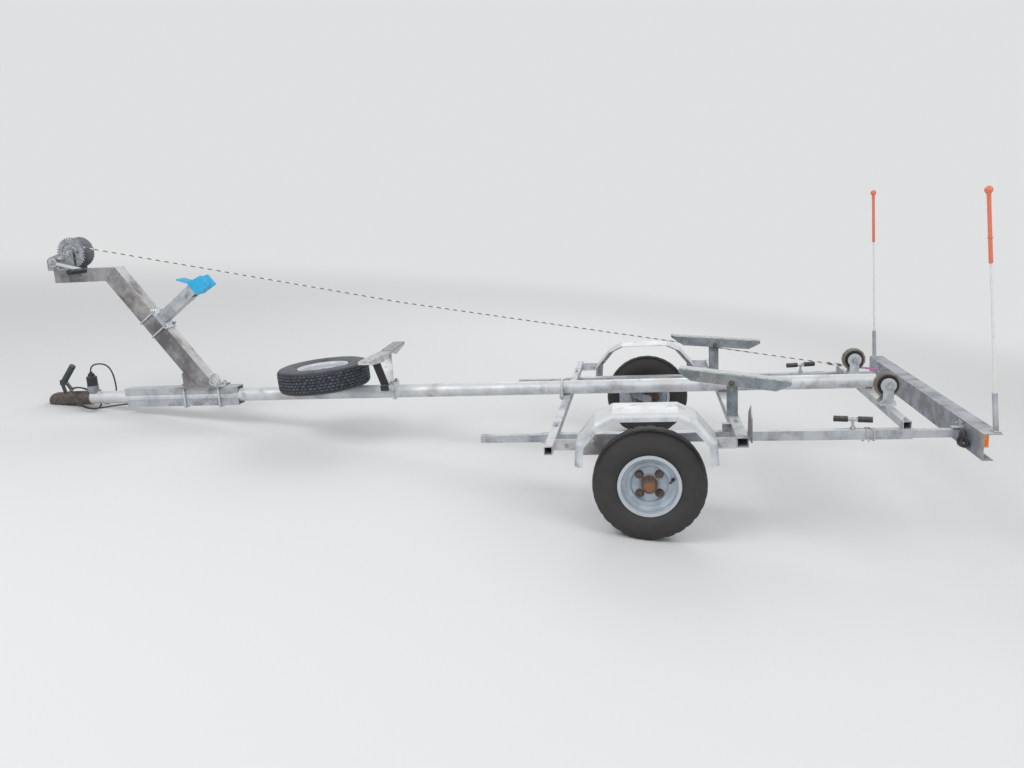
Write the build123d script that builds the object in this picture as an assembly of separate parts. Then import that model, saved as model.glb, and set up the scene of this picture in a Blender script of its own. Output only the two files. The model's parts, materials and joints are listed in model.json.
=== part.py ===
"""Single-axle boat trailer with winch, bunks, rear rollers and a pull-out light beam, parked on its coupling.

Millimetres. The pieces are modelled in the trailer's own level frame: X runs to the rear along the drawbar,
Y to the far side, Z up, with its origin on the axle line. park() then pitches the trailer nose-down until the
coupling head touches the floor beside the tyres, and puts the origin under the middle of its bounding box.
"""
import os
from math import acos, asin, atan2, cos, degrees, hypot, pi, radians, sin, sqrt, tan

from build123d import *

NEAR, FAR = -1, 1
SIDES = (("near", NEAR), ("far", FAR))

# fits
SEAT_GAP = 0.3
RUNNING_GAP = 0.05
SWING_GAP = 6.0

# tyres and rims (4.80-8 tyre on an eight inch rim)
TYRE_RADIUS = 205.0
TYRE_WIDTH = 112.0
TYRE_WALL = 9.0
RIM_FLANGE_RADIUS = 114.0
RIM_SEAT_RADIUS = 101.0
RIM_WELL_RADIUS = 84.0
RIM_WIDTH = 84.0
RIM_SHEET = 3.0
DISC_SHEET = 4.0
DISC_OFFSET = 4.0
HUB_BORE_RADIUS = 29.0
BOLT_CIRCLE_RADIUS = 50.0
BOLT_HOLE_RADIUS = 6.5
BOLT_COUNT = 4
TRACK = 1438.0

# hubs and suspension
HUB_RADIUS = 31.0
HUB_FLANGE_RADIUS = 63.0
HUB_FLANGE_SHEET = 9.0
HUB_LENGTH = 78.0
CAP_RADIUS = 27.0
CAP_LENGTH = 26.0
STUB_RADIUS = 12.5
ARM_THICKNESS = 22.0
ARM_WIDTH = 44.0
TORSION_LEAD = 110.0
TORSION_SIZE = 50.0
TORSION_WALL = 5.0
TORSION_LENGTH = 165.0
TORSION_SHAFT_RADIUS = 16.0
HANGER_LENGTH = 400.0
HANGER_FRONT = 245.0
HANGER_SHEET = 6.0
HANGER_FLANGE = 46.0
HANGER_HEIGHT = 69.0

# side rails and cross members
RAIL_Y = 535.0
RAIL_SIZE = 35.0
RAIL_WALL = 3.0
RAIL_FRONT = -402.0
RAIL_REAR = 937.0
RAIL_Z = 122.0
CROSS_FRONT_X = -348.0
CROSS_FRONT_HALF = 830.0
CROSS_MID_X = 322.0
CROSS_MID_HALF = 762.0
CROSS_MID_WIDTH = 40.0
CROSS_MID_HEIGHT = 35.0
CROSS_REAR_X = 918.0
CROSS_REAR_HALF = 552.0
CROSS_SIZE = 30.0
CROSS_WALL = 2.5

# drawbar
DRAWBAR_RADIUS = 30.0
DRAWBAR_WALL = 4.0
DRAWBAR_FRONT = -2765.0
DRAWBAR_REAR = 943.0

# coupling head
BALL_X = -2836.0
HEAD_WIDTH = 70.0
HEAD_HEIGHT = 47.5
HEAD_DROP = 20.0
HEAD_BROW = 15.5
HEAD_SHOULDER = 16.0
BALL_SOCKET_RADIUS = 25.25
BALL_DEPTH = 9.0
COLLAR_REAR = -2647.0
COLLAR_WALL = 3.5
COLLAR_TAPER = 32.0
LEVER_THICKNESS = 12.0
LEVER_SETBACK = 51.0
LEVER_HEIGHT = 84.0
GRIP_RADIUS = 14.5
GRIP_RUN = 60.0
GRIP_RISE = 77.0

# clamp channels and the post's foot
CLAMP_FRONT_UPPER = -2455.0
CLAMP_FRONT_LOWER = -2446.0
CLAMP_REAR = -1884.0
CLAMP_INNER_HALF = 27.0
CLAMP_HEIGHT = 30.0
CLAMP_WALL = 4.0
UBOLT_ROD = 10.0
UBOLT_BEND = 0.5
CLAMP_BOLT_XS = (-2150.0, -1977.0)
FOOT_SHEET = 5.0
FOOT_FRONT = -2165.0
FOOT_REAR = -1955.0
GUSSET_HEIGHT = 70.0
GUSSET_KINK = 62.0
GUSSET_LENGTH = 70.0
FOOT_HALF_WIDTH = 50.0

# winch post
POST_SLOPE = 53.46
POST_DEPTH = 80.0
POST_WIDTH = 70.0
POST_WALL = 4.0
POST_FOOT_X = -2088.5
ARM_TOP = 822.0
ARM_HEIGHT = 60.0
ARM_FRONT = -2722.0

# bow snubber on its stem
SNUBBER_RUN = 308.0
SADDLE_SHEET = 6.0
SADDLE_LENGTH = 112.0
SADDLE_BOLT_PITCH = 82.0
STEM_SIZE = 50.0
STEM_WALL = 3.0
STEM_LENGTH = 186.0
ADAPTER_SHEET = 4.0
ADAPTER_LAP = 66.0
BLOCK_SEAT = 226.0
BLOCK_DEPTH = 79.0
BLOCK_WIDTH = 76.0
BLOCK_HEIGHT = 70.0
BLOCK_TIP_HEIGHT = 58.0
BLOCK_TIP_DROP = 13.0
BLOCK_NOTCH_DEPTH = 30.0
BLOCK_NOTCH_WIDTH = 48.0
BLOCK_EDGE = 7.0
BLOCK_FLANGE_SHEET = 6.0
BLOCK_FLANGE_BACK = 33.0
BLOCK_FLANGE_RISE = 45.0

# hand winch
DRUM_X = -2602.0
DRUM_Z = 899.5
GEAR_MODULE = 4.0
GEAR_TEETH = 33
PINION_TEETH = 10
PRESSURE_ANGLE = 25.0
TOOTH_SHIFT = 0.2
TOOTH_BACKLASH = 0.4
PINION_TIP_CUT = 0.6
FLANK_POINTS = 4
GEAR_CENTRES = 86.2
MESH_DROP = 28.0
GEAR_WIDTH = 8.0
GEAR_Y = -62.0
GEAR_DISH_RADIUS = 44.0
GEAR_DISH_DEPTH = 3.0
GEAR_HOLE_CIRCLE = 32.0
GEAR_HOLE_RADIUS = 5.0
GEAR_HOLE_COUNT = 6
DRUM_LENGTH = 64.0
DRUM_CORE_RADIUS = 20.0
DRUM_FLANGE_RADIUS = 69.0
DRUM_FLANGE_SHEET = 3.0
DRUM_SHAFT_RADIUS = 8.0
WINDING_RADIUS = 24.0
PINION_SHAFT_RADIUS = 7.0
FRAME_SHEET = 3.0
FRAME_NEAR_Y = -72.0
FRAME_FAR_Y = 22.0
FRAME_FRONT_HEIGHT = 55.0
FRAME_REACH = 120.0
FRAME_CORNER = 14.0
FRAME_BOSS_RADIUS = 16.5
CRANK_LENGTH = 162.0
CRANK_DROP = 14.6
CRANK_WIDTH = 14.0
CRANK_SHEET = 6.0
CRANK_BOSS_RADIUS = 20.0
CRANK_Y = -94.0
CRANK_GRIP_RADIUS = 12.0
CRANK_GRIP_LENGTH = 116.0

# winch cable
CABLE_RADIUS = 2.5
CABLE_SAG = 22.0
CABLE_SAG_RADIUS = 600.0
CABLE_POST_RADIUS = 60.0
CABLE_POST_Y = 506.0
CABLE_HOOK_Y = 522.0

# bow cradle
CRADLE_X = -1165.5
CRADLE_PAD_HEIGHT = 391.0
CRADLE_PAD_WIDTH = 55.0
CRADLE_PAD_INNER = 14.0
CRADLE_PAD_LENGTH = 256.0
CRADLE_PAD_SHEET = 10.0
CRADLE_SWEEP = 3.1
CRADLE_SHEET = 4.0
CRADLE_FLANGE = 22.0
CRADLE_LEG_WIDTH = 36.0
CRADLE_LEG_SHEET = 9.0
CRADLE_LEG_FOOT_Y = 35.0
CRADLE_LEG_HEAD_Y = 100.0
CRADLE_LEG_LEAD = 20.0
CRADLE_BASE_FRONT = -1190.0
CRADLE_BASE_REAR = -1127.0
CRADLE_BASE_HALF = 50.0
CRADLE_BASE_RISE = 8.0
CRADLE_BOLT_X = -1137.0

# spare wheel
SPARE_X = -1443.0
SPARE_Y = -60.0
SPARE_TILT = 3.0
SPARE_TYRE_WIDTH = 106.0
SPARE_LIFT = 8.2
SPARE_SEAT_HALF = 26.0
SPARE_SEAT_SHEET = 6.0

# mudguards
GUARD_X = -10.0
GUARD_HALF_OUTLINE = [(252.0, 85.0), (246.0, 165.0), (178.0, 246.0), (115.0, 276.0)]
GUARD_OUTER_Y = 800.0
GUARD_WIDTH = 172.0
GUARD_LIP = 30.0
GUARD_SHEET = 2.5
GUARD_ROUND = 22.0
GUARD_BRACKET_SHEET = 4.0
GUARD_BRACKET_Y = 750.0

# bunks on their posts
BUNK_PIVOT_X = 318.0
BUNK_PIVOT_Y = 440.0
BUNK_PIVOT_Z = 306.0
BUNK_YAW = 9.9
BUNK_PITCH = 6.6
BUNK_LENGTH = 414.0
BUNK_FRONT = 201.0
BUNK_WIDTH = 60.0
BUNK_HEIGHT = 45.0
BUNK_SHEET = 4.0
BUNK_STRIP_SHEET = 5.0
BUNK_STRIP_WIDTH = 50.0
BUNK_END_SLOPE = 50.0
BUNK_PIVOT_DROP = 35.0
BUNK_POST_WIDTH = 40.0
BUNK_POST_DEPTH = 26.0
BUNK_PIN_RADIUS = 6.0

# rear rollers
ROLLER_Y = 274.0
ROLLER_Z = 247.0
ROLLER_RADIUS = 50.0
ROLLER_WIDTH = 34.0
ROLLER_PIN_RADIUS = 6.0
FORK_SHEET = 4.0
FORK_WIDTH = 58.0
FORK_NECK = 40.0
FORK_SHOULDER = 14.0
FORK_DISC_RADIUS = 29.0
FORK_BASE = 5.0

# pull-out light beam
SLIDE_SIZE = 28.0
SLIDE_WALL = 2.5
SLIDE_FRONT = -642.0
BEAM_FRONT = 1104.0
BEAM_HALF = 742.0
BEAM_SHEET = 3.0
BEAM_HEIGHT = 93.0
BEAM_TOP_FLANGE = 60.0
BEAM_BOTTOM_FLANGE = 34.0
BEAM_TOP = 172.0
POLE_INBOARD = 30.0
POLE_SETBACKS = {"near": 49.0, "far": 14.0}
POLE_LEANS = {"near": 4.7, "far": 2.0}
POLE_RADIUS = 5.0
POLE_HEIGHT = 800.0
POLE_BALL_RADIUS = 13.2
SLEEVE_RADIUS = 7.0
SLEEVE_LENGTH = 234.0
SOCKET_HEIGHT = 134.0
SOCKET_RADIUS = 9.0
SOCKET_FOOT_SHEET = 4.0
LAMP_INBOARD = 92.0
LAMP_LENGTH = 210.0
LAMP_HEIGHT = 58.0
LAMP_DEPTH = 36.0
REFLECTOR_WIDTH = 30.0
REFLECTOR_HEIGHT = 42.0
REFLECTOR_DEPTH = 14.0
CLAMP_SCREW_X = 735.0
CLAMP_SCREW_RADIUS = 5.0
CLAMP_SCREW_HEIGHT = 38.0
CLAMP_GRIP_RADIUS = 11.0
CLAMP_GRIP_LENGTH = 50.0
CLAMP_GRIP_GAP = 34.0
CLAMP_GRIP_TURN = 12.0

# plug and lighting cable
PLUG_X = -2637.0
PLUG_RADIUS = 20.0
PLUG_BODY_RADIUS = 24.0
PLUG_BODY_TOP = 310.0
PLUG_NECK_RADIUS = 15.0
PLUG_NECK_TOP = 322.0
GLAND_RADIUS = 8.0
GLAND_TOP = 330.0
HOLDER_RADIUS = 26.0
HOLDER_TOP = 264.0
HOLDER_SHEET = 5.0
GROMMET_HALF_WIDTH = 14.0
GROMMET_LIP = 6.0
LEAD_RADIUS = 3.5
COIL_RADIUS = 75.0
COIL_SECTION = 9.0
COIL_X = -2663.0
COIL_Y = -27.0
COIL_RISE = 4.5
COIL_LEAN = 48.4

# lighting lead, from the grommet to the coil round the drawbar and from the coil up into the plug
LEAD_ROUTE = [(-2452, 0, 169.6), (-2490, 0, 169.6), (-2610.4, -73, 162.3), (-2635, -92, 184.1)]
PLUG_ROUTE = [(-2637, 0, 330), (-2637, 0, 363), (-2590, 36, 366), (-2564, 56, 330), (-2556, 62, 250),
              (-2560, 56, 196), (-2583, 42, 164), (-2616, 31, 167.5), (-2643.8, 43.5, 192)]

# heights that follow from the stack of rails, cross members and drawbar
RAIL_TOP = RAIL_Z + RAIL_SIZE / 2
DRAWBAR_Z = RAIL_TOP + CROSS_MID_HEIGHT + DRAWBAR_RADIUS
DRAWBAR_TOP = DRAWBAR_Z + DRAWBAR_RADIUS
PACKING = CROSS_MID_HEIGHT - CROSS_SIZE
WHEEL_Y = TRACK / 2
UBOLT_REACH = DRAWBAR_RADIUS + SEAT_GAP + UBOLT_ROD / 2
FRONT_UBOLT_X = CROSS_FRONT_X - CROSS_SIZE / 2 - UBOLT_ROD / 2 - 2
HEAD_BOTTOM = DRAWBAR_Z - HEAD_DROP
HEAD_TOP = HEAD_BOTTOM + HEAD_HEIGHT
COLLAR_RADIUS = DRAWBAR_RADIUS + SEAT_GAP + COLLAR_WALL
PINION_X = DRUM_X - GEAR_CENTRES * cos(radians(MESH_DROP))
PINION_Z = DRUM_Z - GEAR_CENTRES * sin(radians(MESH_DROP))


def block(x0, x1, y0, y1, z0, z1):
    """Box between two corners."""
    return Pos((x0 + x1) / 2, (y0 + y1) / 2, (z0 + z1) / 2) * Box(abs(x1 - x0), abs(y1 - y0), abs(z1 - z0))


def rod_x(radius, x0, x1, y, z):
    """Round bar along X."""
    return Pos((x0 + x1) / 2, y, z) * Rot(0, 90, 0) * Cylinder(radius, abs(x1 - x0))


def rod_y(radius, x, y0, y1, z):
    """Round bar along Y."""
    return Pos(x, (y0 + y1) / 2, z) * Rot(90, 0, 0) * Cylinder(radius, abs(y1 - y0))


def rod_z(radius, x, y, z0, z1):
    """Round bar along Z."""
    return Pos(x, y, (z0 + z1) / 2) * Cylinder(radius, abs(z1 - z0))


def plate_xz(points, y0, y1):
    """Flat piece with an outline in X and Z, from y0 to y1."""
    face = make_face(Polyline(*[(x, y0, z) for x, z in points], close=True))
    return extrude(face, amount=y1 - y0, dir=(0, 1, 0))


def plate_yz(points, x0, x1):
    """Flat piece with an outline in Y and Z, from x0 to x1."""
    face = make_face(Polyline(*[(x0, y, z) for y, z in points], close=True))
    return extrude(face, amount=x1 - x0, dir=(1, 0, 0))


def tube_x(x0, x1, y, z, size, wall):
    """Square tube along X."""
    half = size / 2
    hole = half - wall
    outer = block(x0, x1, y - half, y + half, z - half, z + half)
    return outer - block(x0 - 1, x1 + 1, y - hole, y + hole, z - hole, z + hole)


def tube_y(x, half_length, z0, width, height, wall):
    """Rectangular tube across the trailer, standing on z0."""
    outer = block(x - width / 2, x + width / 2, -half_length, half_length, z0, z0 + height)
    bore = block(x - width / 2 + wall, x + width / 2 - wall, -half_length - 1, half_length + 1,
                 z0 + wall, z0 + height - wall)
    return outer - bore


def strip_xz(start, end, width, y0, y1):
    """Flat bar between two points in X and Z, from y0 to y1."""
    length = hypot(end[0] - start[0], end[1] - start[1])
    nx = (end[1] - start[1]) / length * width / 2
    nz = (start[0] - end[0]) / length * width / 2
    return plate_xz([(start[0] + nx, start[1] + nz), (end[0] + nx, end[1] + nz), (end[0] - nx, end[1] - nz),
                     (start[0] - nx, start[1] - nz)], y0, y1)


def offset_line(points, distance):
    """Open outline moved to its left by distance, with mitred corners."""
    lines = []
    for (x0, z0), (x1, z1) in zip(points, points[1:]):
        length = hypot(x1 - x0, z1 - z0)
        nx, nz = -(z1 - z0) / length, (x1 - x0) / length
        lines.append(((x0 + nx * distance, z0 + nz * distance), (x1 + nx * distance, z1 + nz * distance)))
    moved = [lines[0][0]]
    for ((ax, az), (bx, bz)), ((cx, cz), (dx, dz)) in zip(lines, lines[1:]):
        rx, rz, sx, sz = bx - ax, bz - az, dx - cx, dz - cz
        share = ((cx - ax) * sz - (cz - az) * sx) / (rx * sz - rz * sx)
        moved.append((ax + rx * share, az + rz * share))
    moved.append(lines[-1][1])
    return moved


def bent_rod(points, radii, radius):
    """Round rod along straight runs joined by tangent arcs."""
    path = FilletPolyline(*points, radius=radii)
    start = Plane(origin=path @ 0, z_dir=path % 0)
    return sweep(start * Circle(radius), path=path)


def drawbar_u_bolt(x, leg_end):
    """U-bolt round the drawbar, with its legs ending at leg_end and its bow on the bar's other side."""
    span = 2 * UBOLT_REACH
    bow_side = 1 if leg_end < DRAWBAR_Z else -1
    legs = [rod_z(UBOLT_ROD / 2, x, s * UBOLT_REACH, leg_end, DRAWBAR_Z) for s in (NEAR, FAR)]
    ring = Pos(x, 0, DRAWBAR_Z) * Rot(0, 90, 0) * Torus(UBOLT_REACH, UBOLT_ROD / 2)
    bow = ring & block(x - UBOLT_ROD, x + UBOLT_ROD, -span, span, DRAWBAR_Z, DRAWBAR_Z + bow_side * span)
    return bow + legs[0] + legs[1]


def tooth_flank(teeth, shift, tip_cut):
    """Radius and half angle of points up one involute flank, from the root to the tip."""
    pitch = GEAR_MODULE * teeth / 2
    pressure = radians(PRESSURE_ANGLE)
    base = pitch * cos(pressure)
    tip = pitch + GEAR_MODULE * (1 + shift) - tip_cut
    root = pitch - GEAR_MODULE * (1.25 - shift)
    half = (GEAR_MODULE * (pi / 2 + 2 * shift * tan(pressure)) - TOOTH_BACKLASH) / 2 / pitch
    start = max(base, root)
    flank = []
    for i in range(FLANK_POINTS):
        radius = start + (tip - start) * i / (FLANK_POINTS - 1)
        roll = acos(min(1.0, base / radius))
        flank.append((radius, half + tan(pressure) - pressure - tan(roll) + roll))
    if root < start:
        flank.insert(0, (root, flank[0][1]))
    return flank


def toothed_wheel(teeth, shift, tip_cut, first, centre, y0, y1):
    """Spur wheel along Y, with the middle of one tooth at the angle first in X and Z."""
    flank = tooth_flank(teeth, shift, tip_cut)
    outline = []
    for i in range(teeth):
        middle = first + 2 * pi * i / teeth
        angles = [(radius, middle - half) for radius, half in flank]
        angles += [(radius, middle + half) for radius, half in reversed(flank)]
        outline += [(centre[0] + r * cos(angle), centre[1] + r * sin(angle)) for r, angle in angles]
    return plate_xz(outline, y0, y1)


# road and spare wheels, about the Z axis with the outer face up

def tyre(width):
    """Tyre of a width about Z."""
    half = width / 2
    bead = RIM_WIDTH / 2 - RIM_SHEET - 1
    seat = RIM_SEAT_RADIUS + SEAT_GAP
    toe = bead - 5
    shoulder = TYRE_RADIUS - 16
    tread = half - 14
    waist = (seat + shoulder) / 2
    outline = Polyline((seat, -toe), (seat + 4, -bead), (seat + 12, -bead - 1))
    outline += ThreePointArc((seat + 12, -bead - 1), (waist, -half), (shoulder, -tread - 7))
    corner = (TYRE_RADIUS - 6, -tread)
    outline += ThreePointArc((shoulder, -tread - 7), corner, (TYRE_RADIUS - 1, -tread + 12))
    outline += ThreePointArc((TYRE_RADIUS - 1, -tread + 12), (TYRE_RADIUS, 0), (TYRE_RADIUS - 1, tread - 12))
    outline += ThreePointArc((TYRE_RADIUS - 1, tread - 12), (TYRE_RADIUS - 6, tread), (shoulder, tread + 7))
    outline += ThreePointArc((shoulder, tread + 7), (waist, half), (seat + 12, bead + 1))
    outline += Polyline((seat + 12, bead + 1), (seat + 4, bead), (seat, toe), (seat, toe - TYRE_WALL))
    crown = (TYRE_RADIUS - 2 * TYRE_WALL, 0)
    outline += ThreePointArc((seat, toe - TYRE_WALL), crown, (seat, TYRE_WALL - toe))
    outline += Line((seat, TYRE_WALL - toe), (seat, -toe))
    return revolve(Plane.XZ * make_face(outline), Axis.Z)


def rim():
    """Pressed steel rim and disc about Z."""
    half = RIM_WIDTH / 2
    outer = [(RIM_FLANGE_RADIUS, half), (RIM_SEAT_RADIUS + 4, half - RIM_SHEET), (RIM_SEAT_RADIUS, half - 8),
             (RIM_SEAT_RADIUS, half - 22), (RIM_WELL_RADIUS, half - 30)]
    outline = outer + [(r, -w) for r, w in reversed(outer)]
    inner = [(RIM_FLANGE_RADIUS, -half - RIM_SHEET), (RIM_SEAT_RADIUS + 1, -half - RIM_SHEET),
             (RIM_SEAT_RADIUS - RIM_SHEET, -half + 6), (RIM_SEAT_RADIUS - RIM_SHEET, -half + 21),
             (RIM_WELL_RADIUS - RIM_SHEET, -half + 28)]
    outline += inner + [(r, -w) for r, w in reversed(inner)]
    barrel = revolve(Plane.XZ * make_face(Polyline(*outline, close=True)), Axis.Z)
    disc_top = DISC_OFFSET + DISC_SHEET
    web = [(HUB_BORE_RADIUS, DISC_OFFSET), (HUB_FLANGE_RADIUS + 3, DISC_OFFSET),
           (HUB_FLANGE_RADIUS + 9, DISC_OFFSET + 7), (RIM_WELL_RADIUS - RIM_SHEET + 1, DISC_OFFSET + 7),
           (RIM_WELL_RADIUS - RIM_SHEET + 1, disc_top + 8), (HUB_FLANGE_RADIUS + 6, disc_top + 8),
           (HUB_FLANGE_RADIUS, disc_top), (HUB_BORE_RADIUS, disc_top)]
    disc = revolve(Plane.XZ * make_face(Polyline(*web, close=True)), Axis.Z)
    holes = [Rot(0, 0, 360 / BOLT_COUNT * (i + 0.5)) * rod_z(BOLT_HOLE_RADIUS, BOLT_CIRCLE_RADIUS, 0, 0, 30)
             for i in range(BOLT_COUNT)]
    return barrel + disc - holes


def hub():
    """Bearing hub with its flange, studs and grease cap, about Z."""
    flange_top = DISC_OFFSET
    flange = rod_z(HUB_FLANGE_RADIUS, 0, 0, flange_top - HUB_FLANGE_SHEET, flange_top)
    body = rod_z(HUB_RADIUS, 0, 0, flange_top - HUB_LENGTH, flange_top)
    nose = rod_z(HUB_BORE_RADIUS - SEAT_GAP, 0, 0, flange_top, flange_top + 20)
    cap = rod_z(CAP_RADIUS, 0, 0, flange_top + 20, flange_top + 20 + CAP_LENGTH)
    cap = fillet(cap.edges().sort_by(Axis.Z)[-1], CAP_LENGTH / 3)
    bore = rod_z(STUB_RADIUS + RUNNING_GAP, 0, 0, -HUB_LENGTH - 1, flange_top + 12)
    return flange + body + nose + cap - bore


def on_axle(shape, side):
    """Stand a wheel piece on its side of the axle line with its outer face outboard."""
    return Pos(0, side * WHEEL_Y, 0) * Rot(90 if side == NEAR else -90, 0, 0) * shape


def build_wheels():
    """Road wheels and the spare."""
    parts = {}
    for name, side in SIDES:
        parts[f"tyre_{name}"] = on_axle(tyre(TYRE_WIDTH), side)
        parts[f"rim_{name}"] = on_axle(rim(), side)
        parts[f"hub_{name}"] = on_axle(hub(), side)
    height = DRAWBAR_TOP + SEAT_GAP + SPARE_TYRE_WIDTH / 2 + SPARE_LIFT
    place = Pos(SPARE_X, SPARE_Y, height) * Rot(0, -SPARE_TILT, 0)
    parts["spare_tyre"] = place * tyre(SPARE_TYRE_WIDTH)
    parts["spare_rim"] = place * rim()
    disc_top = DISC_OFFSET + DISC_SHEET
    washer = rod_z(HUB_BORE_RADIUS + 9, 0, 0, disc_top, disc_top + 6)
    stud = rod_z(8, 0, 0, DRAWBAR_TOP - height + SPARE_SEAT_SHEET / 2, disc_top + 28)
    nut = extrude(Pos(0, 0, disc_top + 6) * RegularPolygon(15, 6), amount=12)
    x0, x1 = SPARE_X - SPARE_SEAT_HALF, SPARE_X + SPARE_SEAT_HALF
    seat = block(x0, x1, SPARE_Y - SPARE_SEAT_HALF, DRAWBAR_RADIUS + 4, DRAWBAR_TOP + SEAT_GAP,
                 DRAWBAR_TOP + SPARE_SEAT_SHEET)
    seat += block(x0, x1, -DRAWBAR_RADIUS - 4, DRAWBAR_RADIUS + 4, DRAWBAR_Z + 8, DRAWBAR_TOP + 2)
    seat -= rod_x(DRAWBAR_RADIUS + SEAT_GAP, x0 - 1, x1 + 1, 0, DRAWBAR_Z)
    parts["spare_carrier"] = place * (washer + stud + nut) + seat
    return parts


def build_suspension():
    """Rubber torsion half axles hung from the side rails."""
    hanger_bottom = RAIL_TOP - HANGER_HEIGHT
    torsion_z = hanger_bottom - TORSION_SIZE / 2
    hub_inner = WHEEL_Y + DISC_OFFSET - HUB_LENGTH
    arm_out = hub_inner - 2
    arm_in = arm_out - ARM_THICKNESS
    hangers, half_axles = [], []
    for _, side in SIDES:
        face = side * (RAIL_Y + RAIL_SIZE / 2)
        x0 = -HANGER_FRONT
        x1 = x0 + HANGER_LENGTH
        web = block(x0, x1, face, face + side * HANGER_SHEET, hanger_bottom, RAIL_TOP)
        flange = block(x0, x1, face, face + side * HANGER_FLANGE, hanger_bottom, hanger_bottom + HANGER_SHEET)
        hangers.append(web + flange)
        inner = arm_in - 3 - TORSION_LENGTH
        half = TORSION_SIZE / 2
        casing = block(-TORSION_LEAD - half, -TORSION_LEAD + half, side * inner, side * (arm_in - 3),
                       torsion_z - half, torsion_z + half)
        shaft = rod_y(TORSION_SHAFT_RADIUS, -TORSION_LEAD, side * (arm_in - 3), side * arm_out, torsion_z)
        slope = degrees(atan2(-torsion_z, TORSION_LEAD))
        reach = hypot(torsion_z, TORSION_LEAD)
        bar = Box(reach, ARM_THICKNESS, ARM_WIDTH * 0.8)
        middle = Pos(-TORSION_LEAD / 2, side * (arm_in + arm_out) / 2, torsion_z / 2) * Rot(0, -slope, 0)
        arm = middle * bar
        arm += rod_y(ARM_WIDTH / 2, -TORSION_LEAD, side * arm_in, side * arm_out, torsion_z)
        arm += rod_y(ARM_WIDTH / 2, 0, side * arm_in, side * arm_out, 0)
        stub = rod_y(STUB_RADIUS, 0, side * arm_in, side * (WHEEL_Y + DISC_OFFSET + 8), 0)
        half_axles.append(casing + shaft + arm + stub)
    return {"hangers": Compound(hangers), "half_axles": Compound(half_axles)}


def guard_outline():
    """Faceted mudguard section, front to rear over the wheel."""
    front = [(GUARD_X - x, z) for x, z in GUARD_HALF_OUTLINE]
    return front + [(GUARD_X + x, z) for x, z in reversed(GUARD_HALF_OUTLINE)]


def guard_reach(z):
    """Half length of the mudguard's outline at a height on its end panels."""
    (x0, z0), (x1, z1) = GUARD_HALF_OUTLINE[:2]
    if z > z1:
        (x0, z0), (x1, z1) = GUARD_HALF_OUTLINE[1:3]
    return x0 + (x1 - x0) * (z - z0) / (z1 - z0)


def build_mudguards():
    """Pressed mudguards with a rolled outer lip, and the plates that hold them."""
    parts = {}
    skin = guard_outline()
    inside = offset_line(skin, -GUARD_SHEET)
    lip = offset_line(skin, -GUARD_LIP)
    deep = offset_line(skin, -GUARD_LIP - 20)
    plates = []
    for name, side in SIDES:
        outer = side * GUARD_OUTER_Y
        inner = side * (GUARD_OUTER_Y - GUARD_WIDTH)
        shell = plate_xz(skin + lip[::-1], *sorted((outer, inner)))
        rim_edges = shell.edges().filter_by_position(Axis.Y, outer - 0.01, outer + 0.01)
        top_edges = [e for e in rim_edges if near_outline(e, skin)]
        shell = fillet(top_edges, GUARD_ROUND)
        hollow = plate_xz(inside + deep[::-1], *sorted((outer - side * GUARD_SHEET, inner - side * 5)))
        rim_edges = hollow.edges().filter_by_position(Axis.Y, outer - side * GUARD_SHEET - 0.01,
                                                      outer - side * GUARD_SHEET + 0.01)
        top_edges = [e for e in rim_edges if near_outline(e, inside)]
        hollow = fillet(top_edges, GUARD_ROUND - GUARD_SHEET)
        ends = block(-400, 400, *sorted((outer - side * GUARD_SHEET, inner - side * 5)), skin[0][1] - 60,
                     skin[0][1] + 0.0)
        parts[f"mudguard_{name}"] = shell - hollow - ends
        for end, member_x, half in ((-1, CROSS_FRONT_X, CROSS_SIZE / 2), (1, CROSS_MID_X, CROSS_MID_WIDTH / 2)):
            inner_x = abs(member_x) - half
            heights = (RAIL_TOP - 6, GUARD_HALF_OUTLINE[1][1], RAIL_TOP + 34)
            guard_edge = [(GUARD_X + end * (guard_reach(z) + SEAT_GAP), z) for z in heights]
            shape = guard_edge + [(end * inner_x, heights[-1]), (end * inner_x, heights[0])]
            y0 = side * GUARD_BRACKET_Y
            plates.append(plate_xz(shape, *sorted((y0, y0 - side * GUARD_BRACKET_SHEET))))
    parts["guard_brackets"] = Compound(plates)
    return parts


def near_outline(edge, points):
    """True where an edge lies on the outline's own line of points."""
    middle = edge @ 0.5
    for (x0, z0), (x1, z1) in zip(points, points[1:]):
        if hypot(middle.X - (x0 + x1) / 2, middle.Z - (z0 + z1) / 2) < 1.0:
            return True
    return False


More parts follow.
